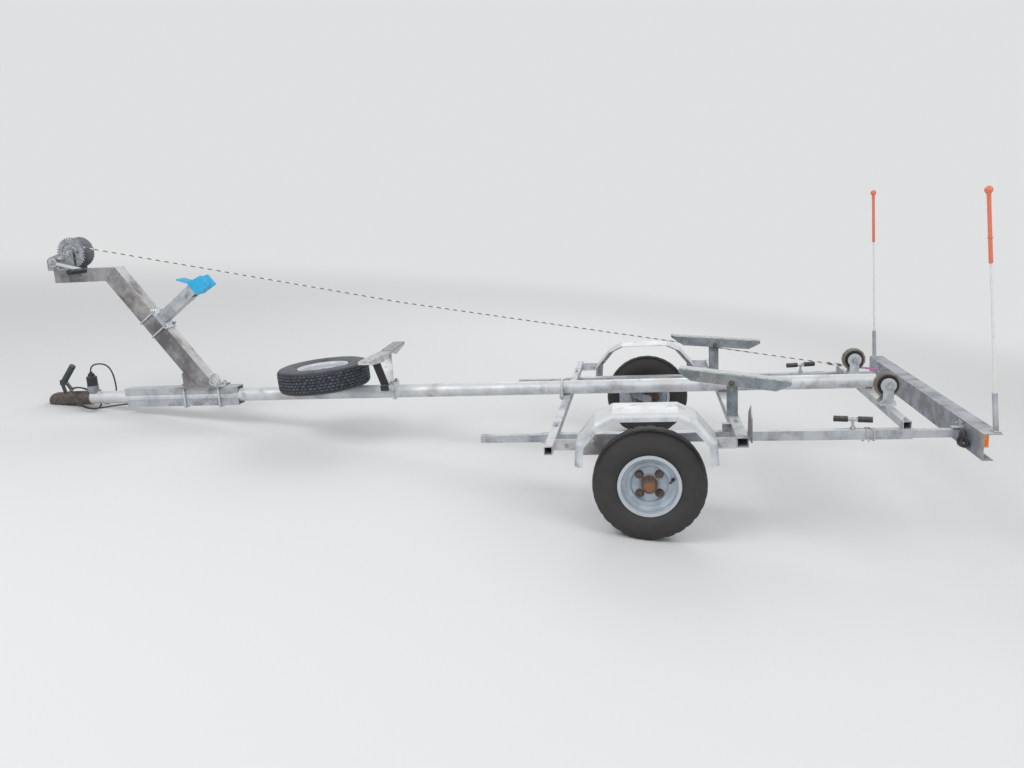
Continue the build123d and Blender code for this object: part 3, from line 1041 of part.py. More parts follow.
def build_lead():
    """Plug in its parking socket, and the lighting lead wound loosely round the drawbar."""
    parts = {}
    cup_z = DRAWBAR_TOP + HOLDER_SHEET
    cup_floor = cup_z + HOLDER_SHEET / 2
    holder = block(COLLAR_REAR + 0.5, PLUG_X + HOLDER_RADIUS, -HOLDER_RADIUS + 4, HOLDER_RADIUS - 4,
                   DRAWBAR_TOP - 6, cup_z)
    holder -= rod_x(DRAWBAR_RADIUS + SEAT_GAP, COLLAR_REAR - 1, PLUG_X + 40, 0, DRAWBAR_Z)
    holder += rod_z(HOLDER_RADIUS, PLUG_X, 0, cup_z - 0.5, HOLDER_TOP)
    holder -= rod_z(PLUG_RADIUS + SEAT_GAP, PLUG_X, 0, cup_floor, HOLDER_TOP + 1)
    parts["plug_holder"] = holder
    body = rod_z(PLUG_BODY_RADIUS, PLUG_X, 0, HOLDER_TOP + SEAT_GAP, PLUG_BODY_TOP)
    body = fillet(body.edges().sort_by(Axis.Z)[-1], 5)
    plug = rod_z(PLUG_RADIUS, PLUG_X, 0, cup_floor, PLUG_BODY_TOP - 10) + body
    plug += rod_z(PLUG_NECK_RADIUS, PLUG_X, 0, PLUG_BODY_TOP - 1, PLUG_NECK_TOP)
    plug += rod_z(GLAND_RADIUS, PLUG_X, 0, PLUG_NECK_TOP - 1, GLAND_TOP)
    parts["plug"] = plug
    seat = sqrt((DRAWBAR_RADIUS + SEAT_GAP) ** 2 - CLAMP_INNER_HALF ** 2)
    floor = DRAWBAR_Z - seat - CLAMP_HEIGHT + CLAMP_WALL
    mouth = CLAMP_FRONT_LOWER
    grommet = block(mouth - GROMMET_LIP, mouth + 2 * GROMMET_LIP, -GROMMET_HALF_WIDTH, GROMMET_HALF_WIDTH,
                    floor + SEAT_GAP, DRAWBAR_Z - DRAWBAR_RADIUS / 2)
    grommet -= rod_x(DRAWBAR_RADIUS + SEAT_GAP, mouth - 50, mouth + 50, 0, DRAWBAR_Z)
    parts["lead_grommet"] = grommet
    parts["lighting_lead"] = lead_tube(LEAD_ROUTE)
    parts["plug_lead"] = lead_tube(PLUG_ROUTE)
    ring = Torus(COIL_RADIUS, COIL_SECTION)
    parts["lead_coil"] = Pos(COIL_X, COIL_Y, DRAWBAR_Z + COIL_RISE) * Rot(0, 90 - COIL_LEAN, 0) * ring
    return parts


def lead_tube(route):
    """Round tube along a route, with an arc at each of its corners as large as its runs allow."""
    corners = [Vector(*point) for point in route]
    runs = [(after - before).length * 0.45 for before, after in zip(corners, corners[1:])]
    runs[0] *= 2
    runs[-1] *= 2
    radii = []
    for i in range(1, len(corners) - 1):
        half_turn = radians((corners[i] - corners[i - 1]).get_angle(corners[i + 1] - corners[i]) / 2)
        radii.append(min(runs[i - 1], runs[i]) / tan(half_turn))
    return bent_rod(route, radii, LEAD_RADIUS)


def build_level():
    """All pieces in the level frame."""
    parts = {}
    for builder in (build_frame, build_coupling, build_post, build_winch, build_cable, build_cradle, build_wheels,
                    build_suspension, build_mudguards, build_bunks, build_rollers, build_light_beam,
                    build_lead):
        parts.update(builder())
    return parts


def park_angle():
    """Pitch that brings the coupling head's underside to the floor."""
    nose_x, nose_z = BALL_X - HEAD_WIDTH / 2, HEAD_BOTTOM
    reach = hypot(nose_x, nose_z)
    return degrees(asin(TYRE_RADIUS / reach) + atan2(nose_z, -nose_x))


def park(shapes):
    """Pitch the pieces nose-down on to the floor, with the origin under the middle of their box."""
    pitched = Pos(0, 0, TYRE_RADIUS) * Rot(0, -park_angle(), 0)
    box = Compound([pitched * shape for shape in shapes]).bounding_box(optimal=True)
    return Pos(-box.center().X, -box.center().Y, -box.min.Z) * pitched


def build():
    """Every node in its parked place, and the move that parked it."""
    level = build_level()
    where = park(level.values())
    return {node: where * shape for node, shape in level.items()}, where


if __name__ == "__main__":
    os.makedirs("parts", exist_ok=True)
    for node_name, node_shape in build()[0].items():
        export_step(node_shape, f"parts/{node_name}.step")
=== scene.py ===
"""Boat trailer on its coupling head: the looks of every piece, and the small pieces that dress it.

Metres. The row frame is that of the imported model. Places on the trailer are given in its own level frame,
in which X runs to the rear along the drawbar, Y to the far side and Z up, from the middle of the axle line.
Trailer.place() turns them into the row frame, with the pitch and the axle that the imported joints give.
"""

import json
import logging
from collections.abc import Callable
from dataclasses import dataclass, field
from enum import Enum
from math import atan2, cos, hypot, pi, radians, sin

import bmesh
import bpy
from mathutils import Matrix, Vector

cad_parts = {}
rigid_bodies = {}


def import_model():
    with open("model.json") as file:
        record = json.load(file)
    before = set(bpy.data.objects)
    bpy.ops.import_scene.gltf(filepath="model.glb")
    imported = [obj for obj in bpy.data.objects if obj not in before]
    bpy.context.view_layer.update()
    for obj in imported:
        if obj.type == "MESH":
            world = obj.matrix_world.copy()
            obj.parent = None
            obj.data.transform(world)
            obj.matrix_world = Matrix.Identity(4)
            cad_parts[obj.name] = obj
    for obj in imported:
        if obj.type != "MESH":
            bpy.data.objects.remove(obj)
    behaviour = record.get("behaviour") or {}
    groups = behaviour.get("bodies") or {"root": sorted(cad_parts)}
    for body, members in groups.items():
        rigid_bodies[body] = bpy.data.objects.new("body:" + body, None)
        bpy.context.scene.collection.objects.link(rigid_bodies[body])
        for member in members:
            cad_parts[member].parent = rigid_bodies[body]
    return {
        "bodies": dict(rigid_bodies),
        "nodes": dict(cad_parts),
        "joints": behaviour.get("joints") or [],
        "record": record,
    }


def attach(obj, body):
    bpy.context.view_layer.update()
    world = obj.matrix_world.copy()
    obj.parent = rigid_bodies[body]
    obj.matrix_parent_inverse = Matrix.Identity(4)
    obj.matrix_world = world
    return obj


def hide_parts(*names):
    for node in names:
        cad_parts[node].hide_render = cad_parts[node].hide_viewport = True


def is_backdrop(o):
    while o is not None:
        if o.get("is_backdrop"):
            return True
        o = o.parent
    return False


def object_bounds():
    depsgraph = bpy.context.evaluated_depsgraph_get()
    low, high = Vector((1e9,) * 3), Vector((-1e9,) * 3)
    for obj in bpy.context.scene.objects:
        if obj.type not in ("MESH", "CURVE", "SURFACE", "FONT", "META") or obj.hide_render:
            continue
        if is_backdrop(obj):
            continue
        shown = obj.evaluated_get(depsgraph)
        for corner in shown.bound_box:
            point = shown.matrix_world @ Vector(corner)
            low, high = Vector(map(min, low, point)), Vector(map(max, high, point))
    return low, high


LOG = logging.getLogger("boat_trailer")
Point = tuple[float, float, float]
Pair = tuple[float, float]
Colour = tuple[float, float, float]

# places that several pieces share, in the level frame
WHEEL_Y = 0.719
RAIL_Y = 0.535
BUNK_Y = 0.440
ROLLER_X, ROLLER_Y, ROLLER_Z = 0.918, 0.274, 0.247
BEAM_X = 1.104
STEM_X, STEM_Z = -2.2270, 0.5745
STEM_OUT: Pair = (0.8034, 0.5954)
BUNK_YAW = radians(9.9)
DRUM_X, DRUM_Z = -2.602, 0.8995
CRANK_X, CRANK_Z = -2.6781, 0.859
SPARE_CENTRE: Point = (-1.443, -0.060, 0.296)
SPARE_LEAN = radians(3.0)
SPARE_AXIS = Vector((-sin(SPARE_LEAN), 0.0, cos(SPARE_LEAN)))
ACROSS = Vector((0, 1, 0))


class Body(Enum):
    """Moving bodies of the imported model."""

    CHASSIS = "chassis"
    WHEEL_NEAR = "wheel_near"
    WHEEL_FAR = "wheel_far"
    BUNK_NEAR = "bunk_near"
    BUNK_FAR = "bunk_far"
    ROLLER_NEAR = "roller_near"
    ROLLER_FAR = "roller_far"
    LIGHT_BOARD = "light_board"
    DRUM = "drum"
    CRANK = "crank"


class Side(Enum):
    """Side of the trailer: the near one faces the camera."""

    NEAR = -1
    FAR = 1

    def body(self, kind: str) -> Body:
        """This side's own body of a kind, such as its wheel."""
        return Body(f"{kind}_{self.name.lower()}")


# placing

@dataclass
class Trailer:
    """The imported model, and the place of its level frame in the row frame."""

    frame: dict
    pitch: float = field(init=False)
    axle: Vector = field(init=False)

    def __post_init__(self) -> None:
        """Reads the pitch from the light board's slide and the axle line from a wheel's joint."""
        joints = {joint["name"]: joint for joint in self.frame["joints"]}
        slide = joints["light_board_slide"]["axis"]
        self.pitch = atan2(slide[2], slide[0])
        spin = joints["wheel_near_spin"]["pos_m"]
        self.axle = Vector((spin[0], 0.0, spin[2]))

    def place(self) -> Matrix:
        """Matrix from the level frame to the row frame."""
        return Matrix.Translation(self.axle) @ Matrix.Rotation(-self.pitch, 4, "Y")

    def point(self, x: float, y: float, z: float) -> Vector:
        """Row-frame place of a level-frame point.

        Args:
            x, y, z: the point in the level frame, in metres.

        Returns:
            The same point in the row frame.
        """
        return self.place() @ Vector((x, y, z))

    def node(self, name: str) -> bpy.types.Object:
        """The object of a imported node."""
        return self.frame["nodes"][name]

    def hub(self, joint: str) -> Vector:
        """Row-frame place of a joint's axis.

        Args:
            joint: the joint's name.

        Returns:
            The point that the joint turns about.
        """
        found = next(j for j in self.frame["joints"] if j["name"] == joint)
        return Vector(found["pos_m"])


# shader nodes

class Shader:
    """Short way to build a material's or a group's node tree."""

    def __init__(self, tree: bpy.types.NodeTree) -> None:
        """Keeps the tree that the nodes go into."""
        self.tree = tree

    def add(self, kind: str, **values: object) -> bpy.types.Node:
        """Adds a node and sets its properties and inputs.

        Args:
            kind: Blender's name of the node type.
            values: properties, or inputs by name with spaces written as underscores.

        Returns:
            The new node.
        """
        node = self.tree.nodes.new(kind)
        for key, value in values.items():
            if hasattr(node, key):
                setattr(node, key, value)
            else:
                self.feed(node.inputs[key.replace("_", " ")], value)
        return node

    def feed(self, socket: bpy.types.NodeSocket, value: object) -> None:
        """Links or sets one input.

        Args:
            socket: the input.
            value: another node's output, or a plain value.
        """
        if isinstance(value, bpy.types.NodeSocket):
            self.tree.links.new(value, socket)
        elif hasattr(value, "__len__") and len(value) == 3 and socket.type == "RGBA":
            socket.default_value = (*value, 1.0)
        else:
            socket.default_value = value

    def math(self, operation: str, a: object, b: object = 0.0, clamp: bool = False) -> bpy.types.NodeSocket:
        """Output of a Math node.

        Args:
            operation: the Math node's operation.
            a: its first input.
            b: its second input.
            clamp: whether the result is kept from 0 to 1.

        Returns:
            The node's value output.
        """
        node = self.tree.nodes.new("ShaderNodeMath")
        node.operation = operation
        node.use_clamp = clamp
        self.feed(node.inputs[0], a)
        self.feed(node.inputs[1], b)
        return node.outputs[0]

    def vector(self, operation: str, a: object, b: object = (0.0, 0.0, 0.0)) -> bpy.types.NodeSocket:
        """Value output of a Vector Math node.

        Args:
            operation: the node's operation, such as LENGTH.
            a: its first input.
            b: its second input.

        Returns:
            The node's value output.
        """
        node = self.add("ShaderNodeVectorMath", operation=operation)
        self.feed(node.inputs[0], a)
        self.feed(node.inputs[1], b)
        return node.outputs["Value"]

    def times(self, a: object, b: object) -> bpy.types.NodeSocket:
        """Product of two values."""
        return self.math("MULTIPLY", a, b)

    def plus(self, a: object, b: object) -> bpy.types.NodeSocket:
        """Sum of two values."""
        return self.math("ADD", a, b)

    def rest(self, share: object) -> bpy.types.NodeSocket:
        """What a share leaves of 1."""
        return self.math("SUBTRACT", 1.0, share)

    def mix(self, factor: object, a: object, b: object) -> bpy.types.NodeSocket:
        """Output of a colour Mix node.

        Args:
            factor: 0 gives a, 1 gives b.
            a: first colour.
            b: second colour.

        Returns:
            The node's colour output.
        """
        node = self.tree.nodes.new("ShaderNodeMix")
        node.data_type = "RGBA"
        self.feed(node.inputs["Factor"], factor)
        self.feed(node.inputs[6], a)
        self.feed(node.inputs[7], b)
        return node.outputs[2]

    def ramp(self, value: object, low: float, high: float) -> bpy.types.NodeSocket:
        """Value turned from low..high into 0..1, smoothly and clamped.

        Args:
            value: the value.
            low: where the result is 0.
            high: where the result is 1.

        Returns:
            The node's output.
        """
        node = self.add("ShaderNodeMapRange", interpolation_type="SMOOTHSTEP", Value=value, From_Min=low,
                        From_Max=high)
        return node.outputs["Result"]

    def coords(self, stretch: Point = (1.0, 1.0, 1.0), shift: Point = (0.0, 0.0, 0.0)) -> bpy.types.NodeSocket:
        """Object coordinates through a Mapping node.

        Args:
            stretch: scale along each axis.
            shift: where the pattern's own origin lies, in metres.

        Returns:
            The mapped coordinates.
        """
        source = self.tree.nodes.new("ShaderNodeTexCoord")
        mapping = self.add("ShaderNodeMapping", vector_type="TEXTURE", Vector=source.outputs["Object"],
                           Location=shift, Scale=tuple(1.0 / share for share in stretch))
        return mapping.outputs["Vector"]

    def blend(self, factor: object, first: object, second: object) -> bpy.types.NodeSocket:
        """Output of a Mix Shader node between two surfaces or backgrounds.

        Args:
            factor: 0 gives the first, 1 the second.
            first: the first shader.
            second: the second shader.

        Returns:
            The node's shader output.
        """
        node = self.tree.nodes.new("ShaderNodeMixShader")
        for socket, value in zip(node.inputs, (factor, first, second)):
            self.feed(socket, value)
        return node.outputs[0]

    def noise(self, vector: object, scale: float, detail: float = 4.0,
              roughness: float = 0.55) -> bpy.types.NodeSocket:
        """Value of a noise texture.

        Args:
            vector: its coordinates.
            scale: features per metre.
            detail: its octaves.
            roughness: share of the fine octaves.

        Returns:
            The node's value output.
        """
        node = self.add("ShaderNodeTexNoise", Vector=vector, Scale=scale, Detail=detail, Roughness=roughness)
        return node.outputs[0]


class Effects:
    """Shader node groups that more than one finish uses. Each puts out masks from 0 to 1."""

    def __init__(self) -> None:
        """Builds the groups."""
        self.blotches = self._blotches()
        self.upward = self._upward()
        self.runs = self._runs()
        self.edges = self._edges()

    @staticmethod
    def _group(name: str, inputs: dict[str, float], outputs: tuple[str, ...]) -> tuple:
        """Empty group with named sockets.

        Args:
            name: the group's name.
            inputs: float inputs and their default values.
            outputs: float outputs.

        Returns:
            The tree, its input node, its output node and its Shader.
        """
        tree = bpy.data.node_groups.new(name, "ShaderNodeTree")
        for socket, value in inputs.items():
            made = tree.interface.new_socket(socket, in_out="INPUT", socket_type="NodeSocketFloat")
            made.default_value = value
        for socket in outputs:
            tree.interface.new_socket(socket, in_out="OUTPUT", socket_type="NodeSocketFloat")
        return tree, tree.nodes.new("NodeGroupInput"), tree.nodes.new("NodeGroupOutput"), Shader(tree)

    def _blotches(self) -> bpy.types.NodeTree:
        """Soft uneven patches, such as stains, weathering and rust.

        Returns:
            The group's tree.
        """
        tree, source, result, s = self._group("blotches", {"Size": 12.0, "Cover": 0.5, "Edge": 0.12}, ("Mask",))
        coords = s.tree.nodes.new("ShaderNodeTexCoord").outputs["Object"]
        wide = s.add("ShaderNodeTexNoise", Vector=coords, Scale=source.outputs["Size"], Detail=6.0,
                     Roughness=0.62)
        low = s.rest(source.outputs["Cover"])
        first = s.math("SUBTRACT", low, source.outputs["Edge"])
        second = s.plus(low, source.outputs["Edge"])
        tree.links.new(s.ramp(wide.outputs[0], first, second), result.inputs["Mask"])
        return tree

    def _upward(self) -> bpy.types.NodeTree:
        """What settles on faces that look up, such as dust.

        Returns:
            The group's tree.
        """
        tree, source, result, s = self._group("settled", {"Amount": 0.5, "Size": 18.0}, ("Mask",))
        normal = s.tree.nodes.new("ShaderNodeNewGeometry").outputs["Normal"]
        split = s.add("ShaderNodeSeparateXYZ", Vector=normal)
        coords = s.tree.nodes.new("ShaderNodeTexCoord").outputs["Object"]
        grain = s.add("ShaderNodeTexNoise", Vector=coords, Scale=source.outputs["Size"], Detail=5.0)
        flat = s.ramp(split.outputs["Z"], 0.15, 0.6)
        patchy = s.times(flat, s.ramp(grain.outputs[0], 0.35, 0.7))
        tree.links.new(s.math("MULTIPLY", patchy, source.outputs["Amount"], clamp=True), result.inputs["Mask"])
        return tree

    def _runs(self) -> bpy.types.NodeTree:
        """Streaks that water leaves down upright faces.

        Returns:
            The group's tree.
        """
        tree, source, result, s = self._group("runs", {"Width": 90.0, "Amount": 0.5}, ("Mask",))
        stretched = s.coords(stretch=(1.0, 1.0, 0.12))
        fine = s.add("ShaderNodeTexNoise", Vector=stretched, Scale=source.outputs["Width"], Detail=3.0)
        normal = s.tree.nodes.new("ShaderNodeNewGeometry").outputs["Normal"]
        split = s.add("ShaderNodeSeparateXYZ", Vector=normal)
        upright = s.rest(s.math("ABSOLUTE", split.outputs["Z"]))
        mask = s.times(s.ramp(fine.outputs[0], 0.52, 0.72), upright)
        tree.links.new(s.math("MULTIPLY", mask, source.outputs["Amount"], clamp=True), result.inputs["Mask"])
        return tree

    def _edges(self) -> bpy.types.NodeTree:
        """Worn edges, where a rounded normal leaves the true one.

        Returns:
            The group's tree.
        """
        tree, source, result, s = self._group("edges", {"Amount": 0.5}, ("Mask",))
        true_normal = s.tree.nodes.new("ShaderNodeNewGeometry").outputs["Normal"]
        rounded = s.add("ShaderNodeBevel", samples=4, Radius=0.0025)
        worn = s.ramp(s.rest(s.vector("DOT_PRODUCT", true_normal, rounded.outputs["Normal"])), 0.01, 0.12)
        tree.links.new(s.math("MULTIPLY", worn, source.outputs["Amount"], clamp=True), result.inputs["Mask"])
        return tree

    def patches(self, shader: Shader, size: float, cover: float, edge: float) -> bpy.types.NodeSocket:
        """Mask of the blotches.

        Args:
            shader: the material's tree.
            size: blotches per metre.
            cover: share of the surface that they take.
            edge: how softly they end.

        Returns:
            The mask.
        """
        return self.place(shader, self.blotches, Size=size, Cover=cover, Edge=edge)

    def dust(self, shader: Shader, amount: float, size: float) -> bpy.types.NodeSocket:
        """Mask of what settles on upward faces.

        Args:
            shader: the material's tree.
            amount: its strength.
            size: patches per metre.

        Returns:
            The mask.
        """
        return self.place(shader, self.upward, Amount=amount, Size=size)

    def place(self, shader: Shader, group: bpy.types.NodeTree, **values: float) -> bpy.types.NodeSocket:
        """Puts a group into a material.

        Args:
            shader: the material's tree.
            group: the group.
            values: its inputs by name.

        Returns:
            The group's mask.
        """
        node = shader.tree.nodes.new("ShaderNodeGroup")
        node.node_tree = group
        for key, value in values.items():
            shader.feed(node.inputs[key], value)
        return node.outputs["Mask"]


# finishes

@dataclass(frozen=True)
class Finish:
    """A material's name and the way to build it."""

    name: str

    def build(self, effects: Effects) -> bpy.types.Material:
        """Makes the material.

        Args:
            effects: the shared node groups.

        Returns:
            The new material.
        """
        material = bpy.data.materials.new(self.name)
        material.use_nodes = True
        shader = Shader(material.node_tree)
        self.paint(shader, material.node_tree.nodes["Principled BSDF"], effects)
        return material

    def paint(self, s: Shader, surface: bpy.types.Node, effects: Effects) -> None:
        """Fills in the surface shader.

        Args:
            s: the material's tree.
            surface: its Principled BSDF.
            effects: the shared node groups.
        """
        raise NotImplementedError

    @staticmethod
    def coat(s: Shader, surface: bpy.types.Node, tint: object, rough: object, metal: object = 0.0) -> None:
        """Feeds the surface's three main values.

        Args:
            s: the material's tree.
            surface: its Principled BSDF.
            tint: its colour.
            rough: its roughness.
            metal: how metallic it is.
        """
        for name, value in (("Base Color", tint), ("Roughness", rough), ("Metallic", metal)):
            s.feed(surface.inputs[name], value)

    @staticmethod
    def bump(s: Shader, surface: bpy.types.Node, height: bpy.types.NodeSocket, strength: float,
             distance: float) -> None:
        """Feeds a height into the surface's normal.

        Args:
            s: the material's tree.
            surface: its Principled BSDF.
            height: the height from 0 to 1.
            strength: how much of it shows.
            distance: the height of 1, in metres.
        """
        node = s.add("ShaderNodeBump", Strength=strength, Distance=distance, Height=height)
        s.feed(surface.inputs["Normal"], node.outputs["Normal"])


@dataclass(frozen=True)
class Galvanised(Finish):
    """Hot-dipped steel with faint spangle, stains, streaks and specks of rust."""

    base: Colour = (0.5, 0.52, 0.55)
    cool: Colour = (0.34, 0.37, 0.42)
    warm: Colour = (0.5, 0.45, 0.42)
    stain: Colour = (0.13, 0.125, 0.125)
    rust: Colour = (0.25, 0.115, 0.055)
    bleach: Colour = (0.76, 0.76, 0.75)
    stains: float = 0.43
    rust_cover: float = 0.28
    metallic: float = 0.4
    stain_size: float = 14.0
    stain_depth: float = 0.62

    def paint(self, s: Shader, surface: bpy.types.Node, effects: Effects) -> None:
        """Fills in the surface shader."""
        cells = s.add("ShaderNodeTexVoronoi", Vector=s.coords(), Scale=150.0)
        spangle = s.ramp(cells.outputs["Color"], 0.1, 0.9)
        tint = s.mix(s.ramp(s.noise(s.coords(), 9.0), 0.4, 0.68), self.base, self.cool)
        tint = s.mix(s.ramp(s.noise(s.coords(shift=(3.0, 1.0, 0.0)), 6.0), 0.5, 0.75), tint, self.warm)
        tint = s.mix(s.times(spangle, 0.14), tint, (0.8, 0.82, 0.85))
        grime = effects.patches(s, self.stain_size, self.stains, 0.12)
        tint = s.mix(s.times(grime, self.stain_depth), tint, self.stain)
        tint = s.mix(effects.place(s, effects.runs, Width=34.0, Amount=0.16), tint, self.stain)
        specks = effects.patches(s, 55.0, self.rust_cover, 0.05)
        tint = s.mix(s.times(specks, 0.75), tint, self.rust)
        dust = effects.dust(s, 0.7, 9.0)
        tint = s.mix(dust, tint, self.bleach)
        dull = s.math("MAXIMUM", s.math("MAXIMUM", grime, specks), dust)
        rough = s.plus(s.times(dull, 0.25), s.plus(s.times(spangle, 0.1), 0.42))
        self.coat(s, surface, tint, rough, s.times(s.rest(dull), self.metallic))
        self.bump(s, surface, s.noise(s.coords(), 240.0, 3.0), 0.25, 0.0008)


@dataclass(frozen=True)
class Rusted(Finish):
    """Bare or cast steel under an uneven coat of rust."""

    base: Colour = (0.115, 0.1, 0.09)
    rust: Colour = (0.23, 0.105, 0.05)
    cover: float = 0.5
    core: Point | None = None

    def paint(self, s: Shader, surface: bpy.types.Node, effects: Effects) -> None:
        """Fills in the surface shader."""
        patches = effects.patches(s, 38.0, self.cover, 0.2)
        fine = s.noise(s.coords(), 180.0, 5.0)
        tint = s.mix(patches, self.base, self.rust)
        tint = s.mix(s.ramp(fine, 0.45, 0.75), tint, (0.31, 0.2, 0.13))
        tint = s.mix(effects.place(s, effects.edges, Amount=0.5), tint, (0.38, 0.36, 0.34))
        if self.core:
            split = s.add("ShaderNodeSeparateXYZ", Vector=s.coords(shift=self.core))
            reach = s.plus(*(s.math("POWER", split.outputs[way], 2.0) for way in "XZ"))
            tint = s.mix(s.ramp(reach, 0.0005, 0.00015), tint, (0.28, 0.125, 0.065))
        self.coat(s, surface, tint, s.plus(s.times(patches, 0.25), 0.55), s.times(s.rest(patches), 0.5))
        self.bump(s, surface, fine, 0.5, 0.0012)


@dataclass(frozen=True)
class Plated(Finish):
    """Bright zinc-plated steel with handling marks."""

    base: Colour = (0.56, 0.57, 0.58)
    mark: Colour = (0.22, 0.2, 0.19)
    cover: float = 0.46

    def paint(self, s: Shader, surface: bpy.types.Node, effects: Effects) -> None:
        """Fills in the surface shader."""
        marks = effects.patches(s, 60.0, self.cover, 0.1)
        tint = s.mix(s.times(marks, 0.7), self.base, self.mark)
        self.coat(s, surface, tint, s.plus(s.times(marks, 0.3), 0.3), s.times(s.rest(marks), 0.85))
        self.bump(s, surface, s.noise(s.coords(), 320.0), 0.15, 0.0005)


@dataclass(frozen=True)
class Moulded(Finish):
    """Moulded rubber or plastic, greyed by the weather."""

    base: Colour
    faded: Colour
    rough: float = 0.6
    grain: float = 500.0
    wear: float = 0.5
    dust: float = 0.3

    def paint(self, s: Shader, surface: bpy.types.Node, effects: Effects) -> None:
        """Fills in the surface shader."""
        patches = effects.patches(s, 26.0, 0.5, 0.22)
        tint = s.mix(s.times(patches, self.wear), self.base, self.faded)
        dust = effects.dust(s, self.dust, 40.0)
        tint = s.mix(dust, tint, (0.4, 0.37, 0.33))
        self.coat(s, surface, tint, s.plus(s.times(patches, 0.15), self.rough))
        self.bump(s, surface, s.noise(s.coords(), self.grain, 2.0), 0.3, 0.0004)


@dataclass(frozen=True)
class TyreRubber(Finish):
    """Tyre rubber, with dust and moulded rings on its side walls.

    The rings and the dust are worked out from the distance to the wheel's own axis.
    """

    centre: Point
    axis: Point = (0.0, 1.0, 0.0)
    base: Colour = (0.017, 0.018, 0.021)
    dusty: Colour = (0.06, 0.052, 0.046)
    dust: float = 0.6
    radius: float = 0.205
    ridge: Colour = (0.02, 0.021, 0.025)

    def paint(self, s: Shader, surface: bpy.types.Node, effects: Effects) -> None:
        """Fills in the surface shader."""
        coords = s.coords(shift=self.centre)
        reach, along = s.vector("LENGTH", coords), s.vector("DOT_PRODUCT", coords, self.axis)
        square = s.math("SUBTRACT", *(s.math("POWER", value, 2.0) for value in (reach, along)))
        radial = s.math("SQRT", s.math("MAXIMUM", square, 0.0))
        wall = s.ramp(radial, self.radius * 0.995, self.radius * 0.93)
        patches = effects.patches(s, 16.0, 0.62, 0.3)
        cover = s.times(s.times(wall, patches), self.dust)
        tint = s.mix(cover, self.base, self.dusty)
        top = s.ramp(radial, self.radius * 0.988, self.radius * 0.996)
        tint = s.mix(s.times(top, s.ramp(s.noise(coords, 70.0), 0.34, 0.6)), tint, self.ridge)
        self.coat(s, surface, tint, s.plus(s.times(cover, 0.3), 0.55))
        rings = s.math("SINE", s.times(radial, 900.0))
        ribbed = s.times(s.ramp(rings, 0.2, 0.9), s.ramp(radial, self.radius * 0.8, self.radius * 0.83))
        height = s.plus(s.times(ribbed, wall), s.times(s.noise(coords, 300.0), 0.6))
        self.bump(s, surface, height, 0.5, 0.001)


@dataclass(frozen=True)
class RoadRim(Finish):
    """Zinc-coated wheel rim with brake-side dirt and rust round its bolts."""

    centre: Point
    base: Colour = (0.46, 0.53, 0.6)
    dirt: Colour = (0.2, 0.21, 0.23)

    def paint(self, s: Shader, surface: bpy.types.Node, effects: Effects) -> None:
        """Fills in the surface shader."""
        coords = s.coords(shift=self.centre)
        reach = s.vector("LENGTH", coords)
        patches = effects.patches(s, 22.0, 0.45, 0.2)
        tint = s.mix(s.times(patches, 0.45), self.base, self.dirt)
        middle = s.ramp(reach, 0.045, 0.03)
        rusty = s.times(middle, s.ramp(s.noise(coords, 60.0), 0.35, 0.6))
        tint = s.mix(s.times(rusty, 0.7), tint, (0.26, 0.14, 0.08))
        lip = s.ramp(reach, 0.1, 0.112)
        tint = s.mix(s.times(lip, 0.35), tint, (0.72, 0.72, 0.72))
        self.coat(s, surface, tint, s.plus(s.times(patches, 0.25), 0.4), s.times(s.rest(patches), 0.45))
        self.bump(s, surface, s.noise(coords, 260.0), 0.25, 0.0008)


@dataclass(frozen=True)
class WeatheredTimber(Finish):
    """Bare timber greyed by the weather, with its grain along X."""

    base: Colour = (0.7, 0.71, 0.7)
    dark: Colour = (0.33, 0.34, 0.33)

    def paint(self, s: Shader, surface: bpy.types.Node, effects: Effects) -> None:
        """Fills in the surface shader."""
        grain = s.noise(s.coords(stretch=(0.06, 1.0, 1.0)), 260.0, 5.0)
        tint = s.mix(s.ramp(grain, 0.42, 0.7), self.base, self.dark)
        patches = effects.patches(s, 18.0, 0.5, 0.2)
        tint = s.mix(s.times(patches, 0.25), tint, (0.36, 0.4, 0.36))
        self.coat(s, surface, tint, 0.82)
        self.bump(s, surface, grain, 0.6, 0.0015)


@dataclass(frozen=True)
class SpeckledPad(Finish):
    """Worn pad covers: pale with dark specks on the near side; the far pad is greyer, which is painted shade."""

    base: Colour = (0.6, 0.6, 0.6)
    speck: Colour = (0.07, 0.07, 0.075)

    def paint(self, s: Shader, surface: bpy.types.Node, effects: Effects) -> None:
        """Fills in the surface shader."""
        side = s.add("ShaderNodeSeparateXYZ", Vector=s.coords())
        # Painted shade: the pad on the far side is mixed towards a darker grey, as if it lay in shade.
        far = s.ramp(side.outputs["Y"], -0.01, 0.01)
        tint = s.mix(s.times(far, 0.6), self.base, (0.3, 0.31, 0.33))
        specks = effects.patches(s, 170.0, 0.44, 0.05)
        tint = s.mix(s.times(specks, 0.8), tint, self.speck)
        self.coat(s, surface, tint, 0.85)
        self.bump(s, surface, s.noise(s.coords(), 200.0), 0.5, 0.001)


@dataclass(frozen=True)
class WireRope(Finish):
    """Twisted rope: slanted strands along X."""

    base: Colour = (0.82, 0.8, 0.78)
    dark: Colour = (0.2, 0.12, 0.11)
    pitch: float = 0.021

    def paint(self, s: Shader, surface: bpy.types.Node, effects: Effects) -> None:
        """Fills in the surface shader."""
        wave = s.add("ShaderNodeTexWave", bands_direction="DIAGONAL", Vector=s.coords(), Scale=0.31 / self.pitch,
                     Distortion=0.4)
        strands = wave.outputs[1]
        tint = s.mix(s.ramp(strands, 0.3, 0.7), self.dark, self.base)
        self.coat(s, surface, tint, 0.5, 0.3)
        self.bump(s, surface, strands, 0.6, 0.001)


